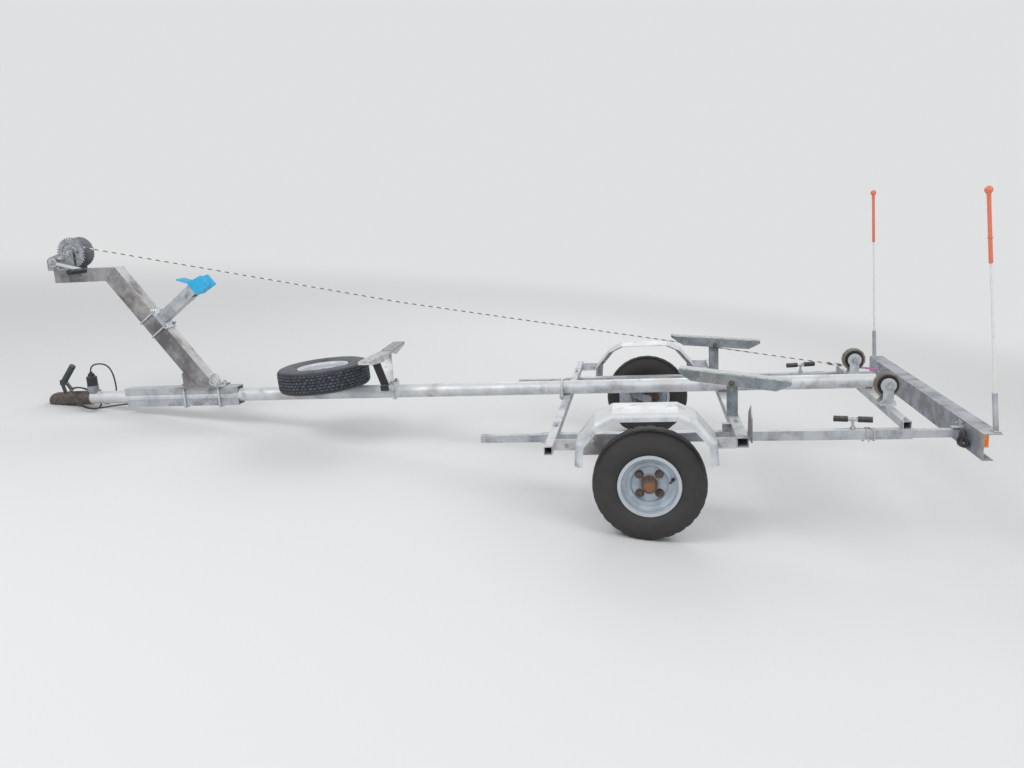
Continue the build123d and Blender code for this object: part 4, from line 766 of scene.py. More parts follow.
@dataclass(frozen=True)
class Gloss(Finish):
    """Glossy moulded plastic, such as a pole or a sleeve, dulled by scuffs."""

    base: Colour
    scuff: Colour
    rough: float = 0.28

    def paint(self, s: Shader, surface: bpy.types.Node, effects: Effects) -> None:
        """Fills in the surface shader."""
        marks = effects.patches(s, 70.0, 0.38, 0.1)
        tint = s.mix(s.times(marks, 0.5), self.base, self.scuff)
        self.coat(s, surface, tint, s.plus(s.times(marks, 0.25), self.rough))
        self.bump(s, surface, s.noise(s.coords(), 150.0), 0.08, 0.0005)


@dataclass(frozen=True)
class Lens(Finish):
    """Ribbed coloured lens of a lamp or reflector."""

    base: Colour
    ribs: float = 420.0

    def paint(self, s: Shader, surface: bpy.types.Node, effects: Effects) -> None:
        """Fills in the surface shader."""
        coords = s.coords()
        prisms = s.times(*(s.add("ShaderNodeTexWave", bands_direction=way, Vector=coords,
                                 Scale=self.ribs / 6.3).outputs[1] for way in "YZ"))
        deep = tuple(c * 0.45 for c in self.base)
        tint = s.mix(s.ramp(prisms, 0.1, 0.7), deep, self.base)
        dust = effects.dust(s, 0.5, 40.0)
        self.coat(s, surface, s.mix(dust, tint, (0.35, 0.3, 0.26)), 0.22)
        self.bump(s, surface, prisms, 0.5, 0.001)


# mesh helpers

def new_object(name: str, data: bpy.types.ID, material: bpy.types.Material | None = None) -> bpy.types.Object:
    """Links a mesh, a curve, a lamp or a camera as an object at the origin.

    Args:
        name: the object's name.
        data: what it holds.
        material: its only material, if it takes one.

    Returns:
        The new object.
    """
    made = bpy.data.objects.new(name, data)
    bpy.context.scene.collection.objects.link(made)
    if material:
        data.materials.clear()
        data.materials.append(material)
    return made


def finish_piece(made: bpy.types.Object, body: Body, nodes: tuple[str, ...] = ()) -> bpy.types.Object:
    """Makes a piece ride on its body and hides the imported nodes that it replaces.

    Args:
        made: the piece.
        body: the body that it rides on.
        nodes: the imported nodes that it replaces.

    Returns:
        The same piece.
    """
    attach(made, body.value)
    if nodes:
        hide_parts(*nodes)
    LOG.info("%s rides on %s", made.name, body.value)
    return made


def oblong(low: Pair, high: Pair) -> list[Pair]:
    """Corners of a rectangle from two opposite ones."""
    return [low, (high[0], low[1]), high, (low[0], high[1])]


def arc(first: Pair, middle: Pair, last: Pair, count: int) -> list[Pair]:
    """Points along the circle through three points.

    Args:
        first, middle, last: the three points.
        count: how many steps the arc has.

    Returns:
        The points after the first and before the last.
    """
    (ax, ay), (bx, by), (cx, cy) = first, middle, last
    d = 2 * (ax * (by - cy) + bx * (cy - ay) + cx * (ay - by))
    a2, b2, c2 = ax * ax + ay * ay, bx * bx + by * by, cx * cx + cy * cy
    ux = (a2 * (by - cy) + b2 * (cy - ay) + c2 * (ay - by)) / d
    uy = (a2 * (cx - bx) + b2 * (ax - cx) + c2 * (bx - ax)) / d
    radius = hypot(ax - ux, ay - uy)
    start, end, via = (atan2(y - uy, x - ux) for x, y in (first, last, middle))
    sweep = (end - start) % (2 * pi)
    if (via - start) % (2 * pi) > sweep:
        sweep -= 2 * pi
    return [(ux + radius * cos(start + sweep * i / count), uy + radius * sin(start + sweep * i / count))
            for i in range(1, count)]


# pieces

@dataclass
class LightingLead:
    """Seven-core lead from the grommet, wound round the drawbar, up into the plug that stands in its socket."""

    trailer: Trailer
    radius: float = 0.0035
    coil_centre: Point = (-2.663, -0.027, 0.209)
    coil_radius: float = 0.075
    coil_section: float = 0.009
    coil_lean: float = 48.4
    start_angle: float = 210.0
    end_angle: float = -20.0
    turns: int = 2
    steps: int = 14
    first_route: tuple[Point, ...] = ((-2.452, 0, 0.1696), (-2.490, 0, 0.1696), (-2.6104, -0.073, 0.1623),
                                      (-2.635, -0.092, 0.1841))
    plug_route: tuple[Point, ...] = ((-2.637, 0, 0.330), (-2.637, 0, 0.363), (-2.590, 0.036, 0.366),
                                     (-2.564, 0.056, 0.330), (-2.556, 0.062, 0.250), (-2.560, 0.056, 0.196),
                                     (-2.583, 0.042, 0.164), (-2.616, 0.031, 0.1675), (-2.6438, 0.0435, 0.192))

    def coil_points(self) -> list[Point]:
        """Control points of the loose turns.

        Returns:
            Their places in the level frame, from the grommet's end on.
        """
        lean = radians(self.coil_lean)
        outward = Vector((-sin(lean), 0.0, cos(lean)))
        normal = Vector((cos(lean), 0.0, sin(lean)))
        middle = Vector(self.coil_centre)
        sweep = self.start_angle - self.end_angle + 360.0 * self.turns
        count = round(sweep / 360.0 * self.steps)
        points = []
        for index in range(1, count):
            share = index / count
            angle = radians(self.start_angle - sweep * share)
            fade = min(1.0, 4.0 * share, 4.0 * (1.0 - share))
            wander = self.coil_section * 0.42 * fade
            spread = wander * sin(2.0 * pi * share * 1.35 + 0.6)
            depth = wander * cos(2.0 * pi * share * 1.9)
            reach = self.coil_radius / cos(pi / self.steps) ** 0.5 + spread
            place = middle + ACROSS * (cos(angle) * reach) + outward * (sin(angle) * reach) + normal * depth
            points.append(tuple(place))
        return points

    def build(self, material: bpy.types.Material) -> bpy.types.Object:
        """Args:
            material: its rubber.

        Returns:
            The curve object.
        """
        route = list(self.first_route) + self.coil_points() + list(reversed(self.plug_route))
        curve = bpy.data.curves.new("lighting_lead_curve", "CURVE")
        curve.dimensions = "3D"
        curve.bevel_depth = self.radius
        curve.bevel_resolution = 3
        curve.resolution_u = 8
        curve.use_fill_caps = True
        spline = curve.splines.new("NURBS")
        spline.points.add(len(route) - 1)
        for point, place in zip(spline.points, route):
            point.co = (*self.trailer.point(*place), 1.0)
        spline.order_u = 3
        spline.use_endpoint_u = True
        lead = new_object("lighting_lead_whole", curve, material)
        finish_piece(lead, Body.CHASSIS, ("lighting_lead", "plug_lead", "lead_coil"))
        tuple(self.trailer.point(*self.first_route[0]))
        self.trailer.node("plug")
        return lead


class Forge:
    """Collects the faces of one piece in the level frame and turns them into an object on its body."""

    def __init__(self, wardrobe: "Wardrobe") -> None:
        """Starts an empty piece that will wear one of the wardrobe's finishes."""
        self.wardrobe = wardrobe
        self.bm = bmesh.new()

    def skin(self, rings: list[list[Vector]], around: bool, along: bool) -> None:
        """Faces between rings of points.

        Args:
            rings: rows of points of one length.
            around: whether each row closes on itself.
            along: whether the last row joins the first.
        """
        rows = [[self.bm.verts.new(point) for point in ring] for ring in rings]
        size = len(rows[0])
        for row, after in list(zip(rows, rows[1:])) + ([(rows[-1], rows[0])] if along else []):
            for i in range(size if around else size - 1):
                j = (i + 1) % size
                self.bm.faces.new((row[i], row[j], after[j], after[i]))
        if around and not along:
            self.bm.faces.new(rows[0])
            self.bm.faces.new(rows[-1][::-1])

    def turned(self, start: Vector, axis: Vector, outline: list[Pair], segments: int = 40,
               dent: Callable[[int, float, float], float] | None = None) -> None:
        """Closed surface turned about an axis.

        Args:
            start: where the axis starts.
            axis: its direction.
            outline: closed outline of radius and distance along the axis.
            segments: faces round the axis.
            dent: change of a point's radius, from its segment, radius and distance.
        """
        axis = axis.normalized()
        side = axis.orthogonal().normalized()
        other = axis.cross(side)
        rings = []
        for index in range(segments):
            angle = 2.0 * pi * index / segments
            out = side * cos(angle) + other * sin(angle)
            rings.append([start + axis * d + out * (r + (dent(index, r, d) if dent else 0.0))
                          for r, d in outline])
        self.skin(rings, around=True, along=True)

    def tube(self, path: list[Vector], radius: float, sides: int = 8, closed: bool = False) -> None:
        """Round tube along a path.

        Args:
            path: its middle line.
            radius: its radius.
            sides: faces round it.
            closed: whether it is a ring.
        """
        rings = []
        side = (path[1] - path[0]).orthogonal().normalized()
        for index, point in enumerate(path):
            before = path[index - 1] if index or closed else point
            after = path[(index + 1) % len(path)] if index + 1 < len(path) or closed else point
            axis = (after - before).normalized()
            side = (side - axis * side.dot(axis)).normalized()
            other = axis.cross(side)
            rings.append([point + (side * cos(2 * pi * k / sides) + other * sin(2 * pi * k / sides)) * radius
                          for k in range(sides)])
        self.skin(rings, around=True, along=closed)

    def loop(self, at: Callable[[float], Vector], steps: int, radius: float, sides: int = 6) -> None:
        """Round tube that closes on itself.

        Args:
            at: place of its middle line at an angle.
            steps: points along it.
            radius: its radius.
            sides: faces round it.
        """
        self.tube([at(2 * pi * index / steps) for index in range(steps)], radius, sides, closed=True)

    def plate(self, corners: list[Vector], depth: Vector) -> None:
        """Flat piece from one face's corners.

        Args:
            corners: the face.
            depth: the way to the opposite face.
        """
        self.skin([corners, [corner + depth for corner in corners]], around=True, along=False)

    def slab(self, across: int, at: float, outline: list[Pair], depth: float) -> None:
        """Flat piece square to one axis.

        Args:
            across: number of that axis.
            at: place of one face on it.
            outline: that face's corners along the other two axes.
            depth: the way to the opposite face.
        """
        way = Vector((0, 0, 0))
        way[across] = depth
        self.plate([Vector((*corner[:across], at, *corner[across:])) for corner in outline], way)

    def piece(self, name: str, finish: str, body: Body, slot: str, nodes: tuple[str, ...] = (),
              crease: float = 35.0) -> bpy.types.Object:
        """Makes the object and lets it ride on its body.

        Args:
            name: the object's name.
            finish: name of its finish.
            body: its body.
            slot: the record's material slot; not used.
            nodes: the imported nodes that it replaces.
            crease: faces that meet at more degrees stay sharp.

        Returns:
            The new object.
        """
        bmesh.ops.remove_doubles(self.bm, verts=self.bm.verts, dist=1e-6)
        bmesh.ops.recalc_face_normals(self.bm, faces=self.bm.faces)
        mesh = bpy.data.meshes.new(name)
        self.bm.to_mesh(mesh)
        self.bm.free()
        mesh.transform(self.wardrobe.trailer.place())
        mesh.shade_smooth()
        mesh.set_sharp_from_angle(angle=radians(crease))
        return finish_piece(new_object(name, mesh, self.wardrobe.made[finish]), body, nodes)


@dataclass(frozen=True)
class Spot:
    """Place of one nut: its seat, the way that it faces and its half width, in the level frame."""

    seat: Point
    facing: Point
    size: float = 0.008


@dataclass
class Fasteners:
    """Hex nuts on washers, with the bolt ends that stand out of them, set out by Geometry Nodes."""

    wardrobe: "Wardrobe"
    bolt_end: float = 1.5
    tree: bpy.types.NodeTree = field(init=False)

    def __post_init__(self) -> None:
        """Builds the node group."""
        tree = bpy.data.node_groups.new("hex_fasteners", "GeometryNodeTree")
        for socket, kind in (("Geometry", "Geometry"), ("Bolt End", "Float"), ("Finish", "Material")):
            tree.interface.new_socket(socket, in_out="INPUT", socket_type=f"NodeSocket{kind}")
        tree.interface.new_socket("Geometry", in_out="OUTPUT", socket_type="NodeSocketGeometry")
        source, result = tree.nodes.new("NodeGroupInput"), tree.nodes.new("NodeGroupOutput")
        nodes = Shader(tree)
        join = tree.nodes.new("GeometryNodeJoinGeometry")
        for sides, radius, height, seat in ((6, 1.0, 0.82, 0.16), (20, 1.32, 0.16, 0.0),
                                            (12, 0.55, source.outputs["Bolt End"], 0.0)):
            ring = nodes.add("GeometryNodeMeshCylinder", Vertices=sides, Radius=radius, Depth=height)
            lift = nodes.add("ShaderNodeCombineXYZ", Z=nodes.plus(nodes.times(height, 0.5), seat))
            shift = nodes.add("GeometryNodeTransform", Geometry=ring.outputs["Mesh"], Translation=lift.outputs[0])
            tree.links.new(shift.outputs[0], join.inputs[0])
        facing = nodes.add("GeometryNodeInputNamedAttribute", data_type="FLOAT_VECTOR", Name="facing")
        size = nodes.add("GeometryNodeInputNamedAttribute", data_type="FLOAT", Name="size")
        turn = nodes.add("FunctionNodeAlignRotationToVector", axis="Z", Vector=facing.outputs["Attribute"])
        spread = nodes.add("GeometryNodeInstanceOnPoints", Points=source.outputs["Geometry"],
                           Instance=join.outputs[0], Rotation=turn.outputs[0], Scale=size.outputs["Attribute"])
        real = nodes.add("GeometryNodeRealizeInstances", Geometry=spread.outputs[0])
        coat = nodes.add("GeometryNodeSetMaterial", Geometry=real.outputs[0], Material=source.outputs["Finish"])
        tree.links.new(coat.outputs[0], result.inputs[0])
        self.tree = tree

    def spots(self) -> dict[Body, list[Spot]]:
        """Places of all nuts.

        Returns:
            Each body's nuts; a body without nuts has an empty list.
        """
        found: dict[Body, list[Spot]] = {body: [] for body in Body}
        chassis = found[Body.CHASSIS]
        down, up = (0, 0, -1), (0, 0, 1)
        for side in Side:
            s = side.value
            chassis.append(Spot((-0.370, s * 0.0353, 0.1693), down, 0.0095))
            chassis.append(Spot((-1.137, s * 0.0353, 0.2425), up, 0.0095))
            for x in (-2.150, -1.977):
                chassis.append(Spot((x, s * 0.0363, 0.2533), up, 0.0095))
            for level in (-0.041, 0.041):
                chassis.append(Spot(self.on_stem(0.006, s * 0.0393, level), (STEM_OUT[0], 0, STEM_OUT[1]), 0.008))
            chassis.append(Spot(self.on_stem(0.176, s * 0.0293, 0.0), (0, s, 0), 0.010))
            for x, z in ((-0.348, 0.1695), (0.322, 0.1745), (ROLLER_X, 0.1695)):
                for t in (-1, 1):
                    chassis.append(Spot((x, s * RAIL_Y + t * 0.009, z), up, 0.0065))
            for x in (-0.21, 0.12):
                chassis.append(Spot((x, s * 0.5585, 0.118), (0, s, 0), 0.0085))
            for x in (-0.290, 0.262):
                chassis.append(Spot((x, s * 0.750, 0.150), (0, s, 0), 0.0065))
            for x in (0.905, 0.931):
                chassis.append(Spot((x, s * ROLLER_Y, 0.1745), up, 0.005))
            for k in range(4):
                angle = radians(45 + 90 * k)
                place = (0.05 * cos(angle), s * 0.727, 0.05 * sin(angle))
                found[side.body("wheel")].append(Spot(place, (0, s, 0), 0.0125))
            yaw = BUNK_YAW * s
            for t in (-1, 1):
                way = (-sin(yaw) * t, cos(yaw) * t, 0.0)
                pin = (0.318 + way[0] * 0.03, s * BUNK_Y + way[1] * 0.03, 0.306)
                found[side.body("bunk")].append(Spot(pin, way, 0.0085))
                fork = (ROLLER_X, s * ROLLER_Y + t * 0.0272, ROLLER_Z)
                found[side.body("roller")].append(Spot(fork, (0, t, 0), 0.010))
                clamp = (BEAM_X, s * RAIL_Y + t * 0.028, 0.150)
                found[Body.LIGHT_BOARD].append(Spot(clamp, (-1, 0, 0), 0.0065))
        for body, x, z, ends in ((Body.DRUM, DRUM_X, DRUM_Z, ((-0.0722, 0.0105), (0.0222, 0.0125))),
                                 (Body.CRANK, CRANK_X, CRANK_Z, ((-0.0942, 0.0125), (0.0222, 0.011)))):
            found[body] = [Spot((x, y, z), (0, -1 if y < 0 else 1, 0), size) for y, size in ends]
        return found

    @staticmethod
    def on_stem(out: float, across: float, along: float) -> Point:
        """Level-frame place of a point in the snubber stem's own frame.

        Args:
            out: distance from the post's rear face.
            across: distance to the far side.
            along: distance up along the post.

        Returns:
            The level-frame point.
        """
        x, z = STEM_OUT
        return (STEM_X + x * out - z * along, across, STEM_Z + z * out + x * along)

    def build(self) -> None:
        """Makes one plain mesh of nuts for each body."""
        place = self.wardrobe.trailer.place()
        for body, spots in self.spots().items():
            if not spots:
                continue
            dark = body in (Body.WHEEL_NEAR, Body.WHEEL_FAR, Body.BUNK_NEAR, Body.BUNK_FAR)
            material = self.wardrobe.made["wheel_nut_steel" if dark else "bright_steel"]
            points = bpy.data.meshes.new(f"nut_points_{body.value}")
            points.from_pydata([place @ Vector(spot.seat) for spot in spots], [], [])
            points.attributes.new("facing", "FLOAT_VECTOR", "POINT")
            points.attributes.new("size", "FLOAT", "POINT")
            for index, spot in enumerate(spots):
                points.attributes["facing"].data[index].vector = place.to_3x3() @ Vector(spot.facing)
                points.attributes["size"].data[index].value = spot.size
            seat = new_object(points.name, points)
            setter = seat.modifiers.new("nuts", "NODES")
            setter.node_group = self.tree
            for item in self.tree.interface.items_tree:
                if item.name in ("Bolt End", "Finish"):
                    setter[item.identifier] = self.bolt_end if item.name == "Bolt End" else material
            made = seat.evaluated_get(bpy.context.evaluated_depsgraph_get())
            mesh = bpy.data.meshes.new_from_object(made)
            bpy.data.objects.remove(seat)
            mesh.name = f"nuts_{body.value}"
            finish_piece(new_object(mesh.name, mesh, material), body)


@dataclass
class Tyres:
    """The three tyres: beads, bulged side walls, and a worn tread of ribs and shoulder blocks."""

    wardrobe: "Wardrobe"
    radius: float = 0.205
    groove: float = 0.004

    def outline(self, width: float, shoulders: float, grooves: int) -> list[Pair]:
        """Closed section of a tyre.

        Args:
            width: its width across the side walls.
            shoulders: how far the tread's edge lies inside the side wall.
            grooves: grooves round the tread, an odd number.

        Returns:
            Points of radius and distance from the middle plane.
        """
        half, shoulder, seat, bead = width / 2, self.radius - 0.016, 0.1013, 0.038
        tread = half - shoulders
        wall = [(seat, -0.033), (seat + 0.004, -bead), (seat + 0.012, -bead - 0.001)]
        wall += arc((seat + 0.012, -bead - 0.001), ((seat + shoulder) / 2, -half), (shoulder, -tread - 0.007), 9)
        edge = (self.radius - 0.001, 0.012 - tread)
        wall += arc((shoulder, -tread - 0.007), (self.radius - 0.006, -tread), edge, 5) + [edge]
        ribs, low = [], self.radius - self.groove
        spacing = 1.1 * (tread - 0.009) / (grooves // 2 + 1)
        for index in range(grooves):
            at = (index - grooves // 2) * spacing
            ribs += [(self.radius - 0.0004, at - 0.0022), (low, at - 0.0014), (low, at + 0.0014),
                     (self.radius - 0.0004, at + 0.0022)]
        return wall + ribs + [(r, -d) for r, d in reversed(wall)]

    def dent(self, index: int, radius: float, distance: float) -> float:
        """Gaps between the blocks along the road tread's shoulders."""
        block = self.radius - 0.012 < radius and abs(distance) > 0.024
        return -0.0028 if block and index % 4 == 0 else 0.0

    def notches(self, index: int, radius: float, distance: float) -> float:
        """Gaps between the short lugs of every rib of the spare's tread, half a pitch on from rib to rib."""
        rib = int(distance // 0.0132)
        return -0.0026 if radius > self.radius - 0.002 and (index + 2 * rib) % 4 == 0 else 0.0

    def build(self) -> None:
        """Makes the road tyres and the spare."""
        road, worn = self.outline(0.112, 0.014, 3), self.outline(0.106, 0.008, 5)
        table = [(f"tyre_{side.name.lower()}", side.value * WHEEL_Y * ACROSS, ACROSS, road, 120, self.dent,
                  side.body("wheel")) for side in Side]
        table.append(("spare_tyre", Vector(SPARE_CENTRE), SPARE_AXIS, worn, 256, self.notches, Body.CHASSIS))
        for name, centre, axis, section, segments, dent, body in table:
            forge = Forge(self.wardrobe)
            forge.turned(centre, axis, section, segments, dent)
            forge.piece(f"{name}_treaded", f"{name}_rubber", body, "tyre_rubber", (name,), crease=28.0)
            LOG.info("%s has %d lugs round each rib", name, segments // 4)


@dataclass
class WinchDress:
    """Wound cable, ribbed crank grip and the winch's small pieces."""

    wardrobe: "Wardrobe"
    grip_end: Point = (-2.5213, -0.094, 0.8182)
    strand: float = 0.0024
    cable_radius: float = 0.0215

    def winding(self) -> None:
        """Turns of cable on the drum."""
        forge = Forge(self.wardrobe)
        start, end, steps = -0.0515, 0.0075, 26
        pitch = self.strand * 2.05
        turns = int((end - start) / pitch)
        path = []
        for index in range(turns * steps + 1):
            angle = 2 * pi * index / steps
            path.append(Vector((DRUM_X + cos(angle) * self.cable_radius, start + pitch * index / steps,
                                DRUM_Z + sin(angle) * self.cable_radius)))
        forge.tube(path, self.strand, 6)
        forge.piece("cable_turns", "wire_rope", Body.DRUM, "wire_rope", ("cable_winding",))

    def grip(self) -> None:
        """Crank grip with moulded ribs and a flared end."""
        forge = Forge(self.wardrobe)
        outline = [(0.0, 0.0), (0.0112, 0.0), (0.012, 0.002), (0.012, 0.008)]
        for index in range(16):
            at = 0.011 + index * 0.006
            outline += [(0.0104, at), (0.0118, at + 0.0012), (0.0118, at + 0.0036), (0.0104, at + 0.0048)]
        outline += [(0.012, 0.109), (0.012, 0.114), (0.0105, 0.116), (0.0, 0.116)]
        forge.turned(Vector(self.grip_end), -ACROSS, outline, 28)
        forge.piece("crank_grip_ribbed", "grip_blue_black", Body.CRANK, "black_plastic", ("crank_grip",))

    def pawl(self) -> None:
        """Ratchet pawl and its spring pin inside the near cheek."""
        forge = Forge(self.wardrobe)
        forge.slab(1, -0.0795, [(-2.668, 0.8835), (-2.659, 0.8895), (-2.634, 0.8790), (-2.629, 0.8725),
                                (-2.638, 0.8705), (-2.664, 0.8755)], 0.0073)
        forge.tube([Vector((-2.6635, y, 0.882)) for y in (-0.0835, -0.0722)], 0.0045, 14)
        forge.piece("winch_pawl", "bright_steel", Body.CHASSIS, "bright_steel")

    def build(self) -> None:
        """Makes every piece of the winch's dress."""
        self.winding()
        self.grip()
        self.pawl()


@dataclass
class SmallPieces:
    """Welds, valve, brackets and the loops that hang on the frame."""

    wardrobe: "Wardrobe"

    def welds(self) -> None:
        """Beads at the post's elbow and round its foot."""
        forge = Forge(self.wardrobe)
        for s in (-1, 1):
            for first, last in (((-2.4655, 0.762), (-2.4104, 0.822)), ((-2.0885, 0.2545), (-1.9889, 0.2545))):
                length = hypot(last[0] - first[0], last[1] - first[1])
                steps = max(8, int(length / 0.003))
                path = []
                for index in range(steps + 1):
                    share = index / steps
                    swell = 0.0007 * sin(index * 1.9) + 0.0004 * cos(index * 3.1)
                    path.append(Vector((first[0] + (last[0] - first[0]) * share, s * (0.0352 + swell),
                                        first[1] + (last[1] - first[1]) * share + swell)))
                forge.tube(path, 0.003, 7)
        forge.piece("post_welds", "galvanised_stained", Body.CHASSIS, "galvanised_steel")

    def valve(self) -> None:
        """Valve stem and cap on the near rim."""
        forge = Forge(self.wardrobe)
        angle = radians(12.0)
        root = Vector((0.086 * cos(angle), -0.738, 0.086 * sin(angle)))
        outline = [(0.0, 0.0), (0.0065, 0.0), (0.006, 0.01), (0.0042, 0.014), (0.0042, 0.024), (0.0048, 0.0245),
                   (0.0048, 0.034), (0.003, 0.036), (0.0, 0.036)]
        forge.turned(root, Vector((-0.35, -1.0, -0.08)), outline, 16)
        forge.piece("valve_near", "black_rubber", Body.WHEEL_NEAR, "black_rubber")

    def foot_rings(self) -> None:
        """Bundle of short chain links on the rear end of the foot."""
        forge = Forge(self.wardrobe)
        links = (((-1.984, -0.047, 0.272), 0.017, 20, 12), ((-1.964, -0.050, 0.268), 0.015, -35, 70),
                 ((-1.975, -0.049, 0.296), 0.018, 65, 20), ((-1.950, -0.046, 0.266), 0.013, 5, 50),
                 ((-1.992, -0.048, 0.306), 0.014, -20, 80))
        for centre, size, lean, turn in links:
            spin = Matrix.Rotation(radians(turn), 3, "Z") @ Matrix.Rotation(radians(lean), 3, "Y")
            forge.loop(lambda a: Vector(centre) + spin @ Vector((cos(a) * size * 1.25, 0.0, sin(a) * size * 0.8)),
                       24, 0.0034, 8)
        forge.piece("foot_chain", "galvanised_pale", Body.CHASSIS, "galvanised_steel")

    def plates(self) -> None:
        """Strip behind the middle cross member, block on the near rail, and a thin black sheet that makes the
        outer face of the cradle's near leg dark.
        """
        forge = Forge(self.wardrobe)
        forge.slab(0, 0.3425, [(-0.72, 0.1745), (-0.828, 0.1745), (-0.828, 0.20), (-0.828, 0.262), (-0.80, 0.30),
                               (-0.74, 0.262)], 0.004)
        forge.slab(1, -0.5525, oblong((0.273, 0.1395), (0.302, 0.170)), 0.03)
        forge.piece("cross_strip", "galvanised_stained", Body.CHASSIS, "galvanised_steel")
        # A thin black sheet over the near leg's outer face and over the foot below it, which makes that face
        # dark.
        forge = Forge(self.wardrobe)
        leg = ((-1.187, -0.0406, 0.2427), (-1.149, -0.0406, 0.2427), (-1.168, -0.1017, 0.372),
               (-1.206, -0.1017, 0.372))
        forge.plate([Vector(corner) for corner in leg], -0.0015 * ACROSS)
        forge.slab(1, -0.0501, oblong((-1.187, 0.217), (-1.149, 0.2424)), -0.0015)
        forge.piece("cradle_facing", "black_rubber", Body.CHASSIS, "black_rubber")

    @staticmethod
    def lashing(turn: int, angle: float) -> Vector:
        """Place on one turn of the line round the square near rail.

        Args:
            turn: number of the turn, from 0.
            angle: angle round the rail.

        Returns:
            The level-frame point.
        """
        c, q = cos(angle), sin(angle)
        square = 0.0207 / max(abs(c), abs(q)) ** 0.82
        drop = 0.004 * (1 + sin(turn * 1.7)) * max(0.0, -q)
        return Vector((0.776 + turn * 0.012 + 0.008 * sin(angle + turn * 2.1), c * square - RAIL_Y,
                       0.122 + q * square - drop))

    @staticmethod
    def spare_cable(turn: int, angle: float) -> Vector:
        """Place on one turn of the cable that is tied up at the beam.

        Args:
            turn: number of the turn, from 0.
            angle: angle round the bundle.

        Returns:
            The level-frame point.
        """
        tilt = 0.35 + 0.22 * turn
        return Vector((1.0905 + 0.0085 * sin(angle * 2 + turn), -0.600 + 0.042 * cos(angle) * cos(tilt),
                       0.118 + 0.030 * sin(angle + 0.5 * turn) - 0.012 * cos(angle) * sin(tilt)))

    def loops(self) -> None:
        """Turns of pale line round the near rail, and loose strands of line along the far slide tube."""
        forge = Forge(self.wardrobe)
        for turn in range(3):
            forge.loop(lambda angle: self.lashing(turn, angle), 28, 0.0022)
        forge.piece("rail_lashing", "pale_line", Body.CHASSIS, "black_rubber")
        forge = Forge(self.wardrobe)
        for strand in range(6):
            path = []
            for index in range(15):
                share = index / 14
                wave = sin(share * 7.0 + strand * 1.3)
                beside = 0.5265 + 0.0325 * min(1.0, (1.0 - share) / 0.22)
                path.append(Vector((0.957 + 0.128 * share, beside + 0.0035 * strand + 0.003 * wave,
                                    0.1405 + 0.004 * abs(cos(share * 5.0 + strand)) + (0.012 - 0.012 * share))))
            forge.tube(path, 0.0028, 6)
        forge.piece("slide_lashing", "pink_line", Body.LIGHT_BOARD, "black_rubber")

    def beam_wires(self) -> None:
        """Bundle of spare cable tied up in front of the beam's near end, and its bracket."""
        forge = Forge(self.wardrobe)
        for turn in range(5):
            forge.loop(lambda angle: self.spare_cable(turn, angle), 24, 0.0028)
        forge.piece("beam_wires", "black_rubber", Body.LIGHT_BOARD, "black_rubber")
        forge = Forge(self.wardrobe)
        forge.slab(2, 0.1402, oblong((1.072, -0.549), (BEAM_X, -0.521)), 0.004)
        forge.slab(0, 1.1038, oblong((-0.556, 0.1402), (-0.514, 0.166)), -0.004)
        forge.piece("beam_bracket", "galvanised", Body.LIGHT_BOARD, "galvanised_steel")

    def markers(self) -> None:
        """Tapered marker poles in their soft sleeves, with a band round the near sleeve."""
        sleeves, poles = Forge(self.wardrobe), Forge(self.wardrobe)
        for side, setback, lean, band in ((-1, 0.049, 4.7, 0.648), (1, 0.014, 2.0, 0.0)):
            foot = Vector((BEAM_X + setback, side * 0.712, 0.172))
            axis = Vector((-sin(radians(lean)), 0.0, cos(radians(lean))))
            outline = [(0.0, 0.566), (0.006, 0.566), (0.0068, 0.570)]
            if band:
                outline += [(0.0066, band - 0.003), (0.0088, band - 0.002), (0.0088, band + 0.002),
                            (0.0066, band + 0.003)]
            outline += [(0.0064, 0.76), (0.0072, 0.788)]
            outline += [(0.0132 * sin(radians(a)), 0.800 - 0.0132 * cos(radians(a))) for a in range(38, 180, 14)]
            outline.append((0.0, 0.8132))
            sleeves.turned(foot, axis, outline, 24)
            pole = [(0.0, 0.003), (0.0049, 0.003), (0.0049, 0.14), (0.0036, 0.566), (0.0, 0.566)]
            poles.turned(foot, axis, pole, 16)
        sleeves.piece("marker_sleeves_banded", "sleeve_red", Body.LIGHT_BOARD, "sleeve_red", ("marker_sleeves",))
        poles.piece("marker_poles_tapered", "pole_white", Body.LIGHT_BOARD, "pole_white", ("marker_poles",))

    def rollers(self) -> None:
        """Worn rear rollers: a brown-grey tread on a black core with its boss and pin."""
        for side in Side:
            body = side.body("roller")
            name = body.value
            centre = Vector((ROLLER_X, side.value * ROLLER_Y, ROLLER_Z))
            forge = Forge(self.wardrobe)
            rim = [(0.041, -0.0165), (0.0455, -0.0165), (0.0485, -0.0125), (0.0498, -0.004), (0.0498, 0.004),
                   (0.0485, 0.0125), (0.0455, 0.0165), (0.041, 0.0165)]
            forge.turned(centre, ACROSS, rim, 64, lambda i, r, d: 0.0006 * sin(i * 1.3) * (r > 0.045))
            forge.piece(f"{name}_tread", "roller_rubber", body, "roller_rubber", (name,))
            forge = Forge(self.wardrobe)
            core = [(0.0, -0.0155), (0.012, -0.0155), (0.016, -0.0125), (0.030, -0.0125), (0.034, -0.0155),
                    (0.0412, -0.0155), (0.0412, 0.0155), (0.034, 0.0155), (0.030, 0.0125), (0.016, 0.0125),
                    (0.012, 0.0155), (0.0, 0.0155)]
            forge.turned(centre, ACROSS, core, 48)
            forge.piece(f"{name}_core", "black_rubber", body, "black_rubber")
            forge = Forge(self.wardrobe)
            forge.tube([centre + ACROSS * at for at in (-0.031, 0.031)], 0.0058, 16)
            forge.piece(f"{name}_pin", "bright_steel", body, "bright_steel")

    def build(self) -> None:
        """Makes every small piece."""
        self.welds()
        self.valve()
        self.foot_rings()
        self.plates()
        self.loops()
        self.beam_wires()
        self.rollers()
        self.markers()


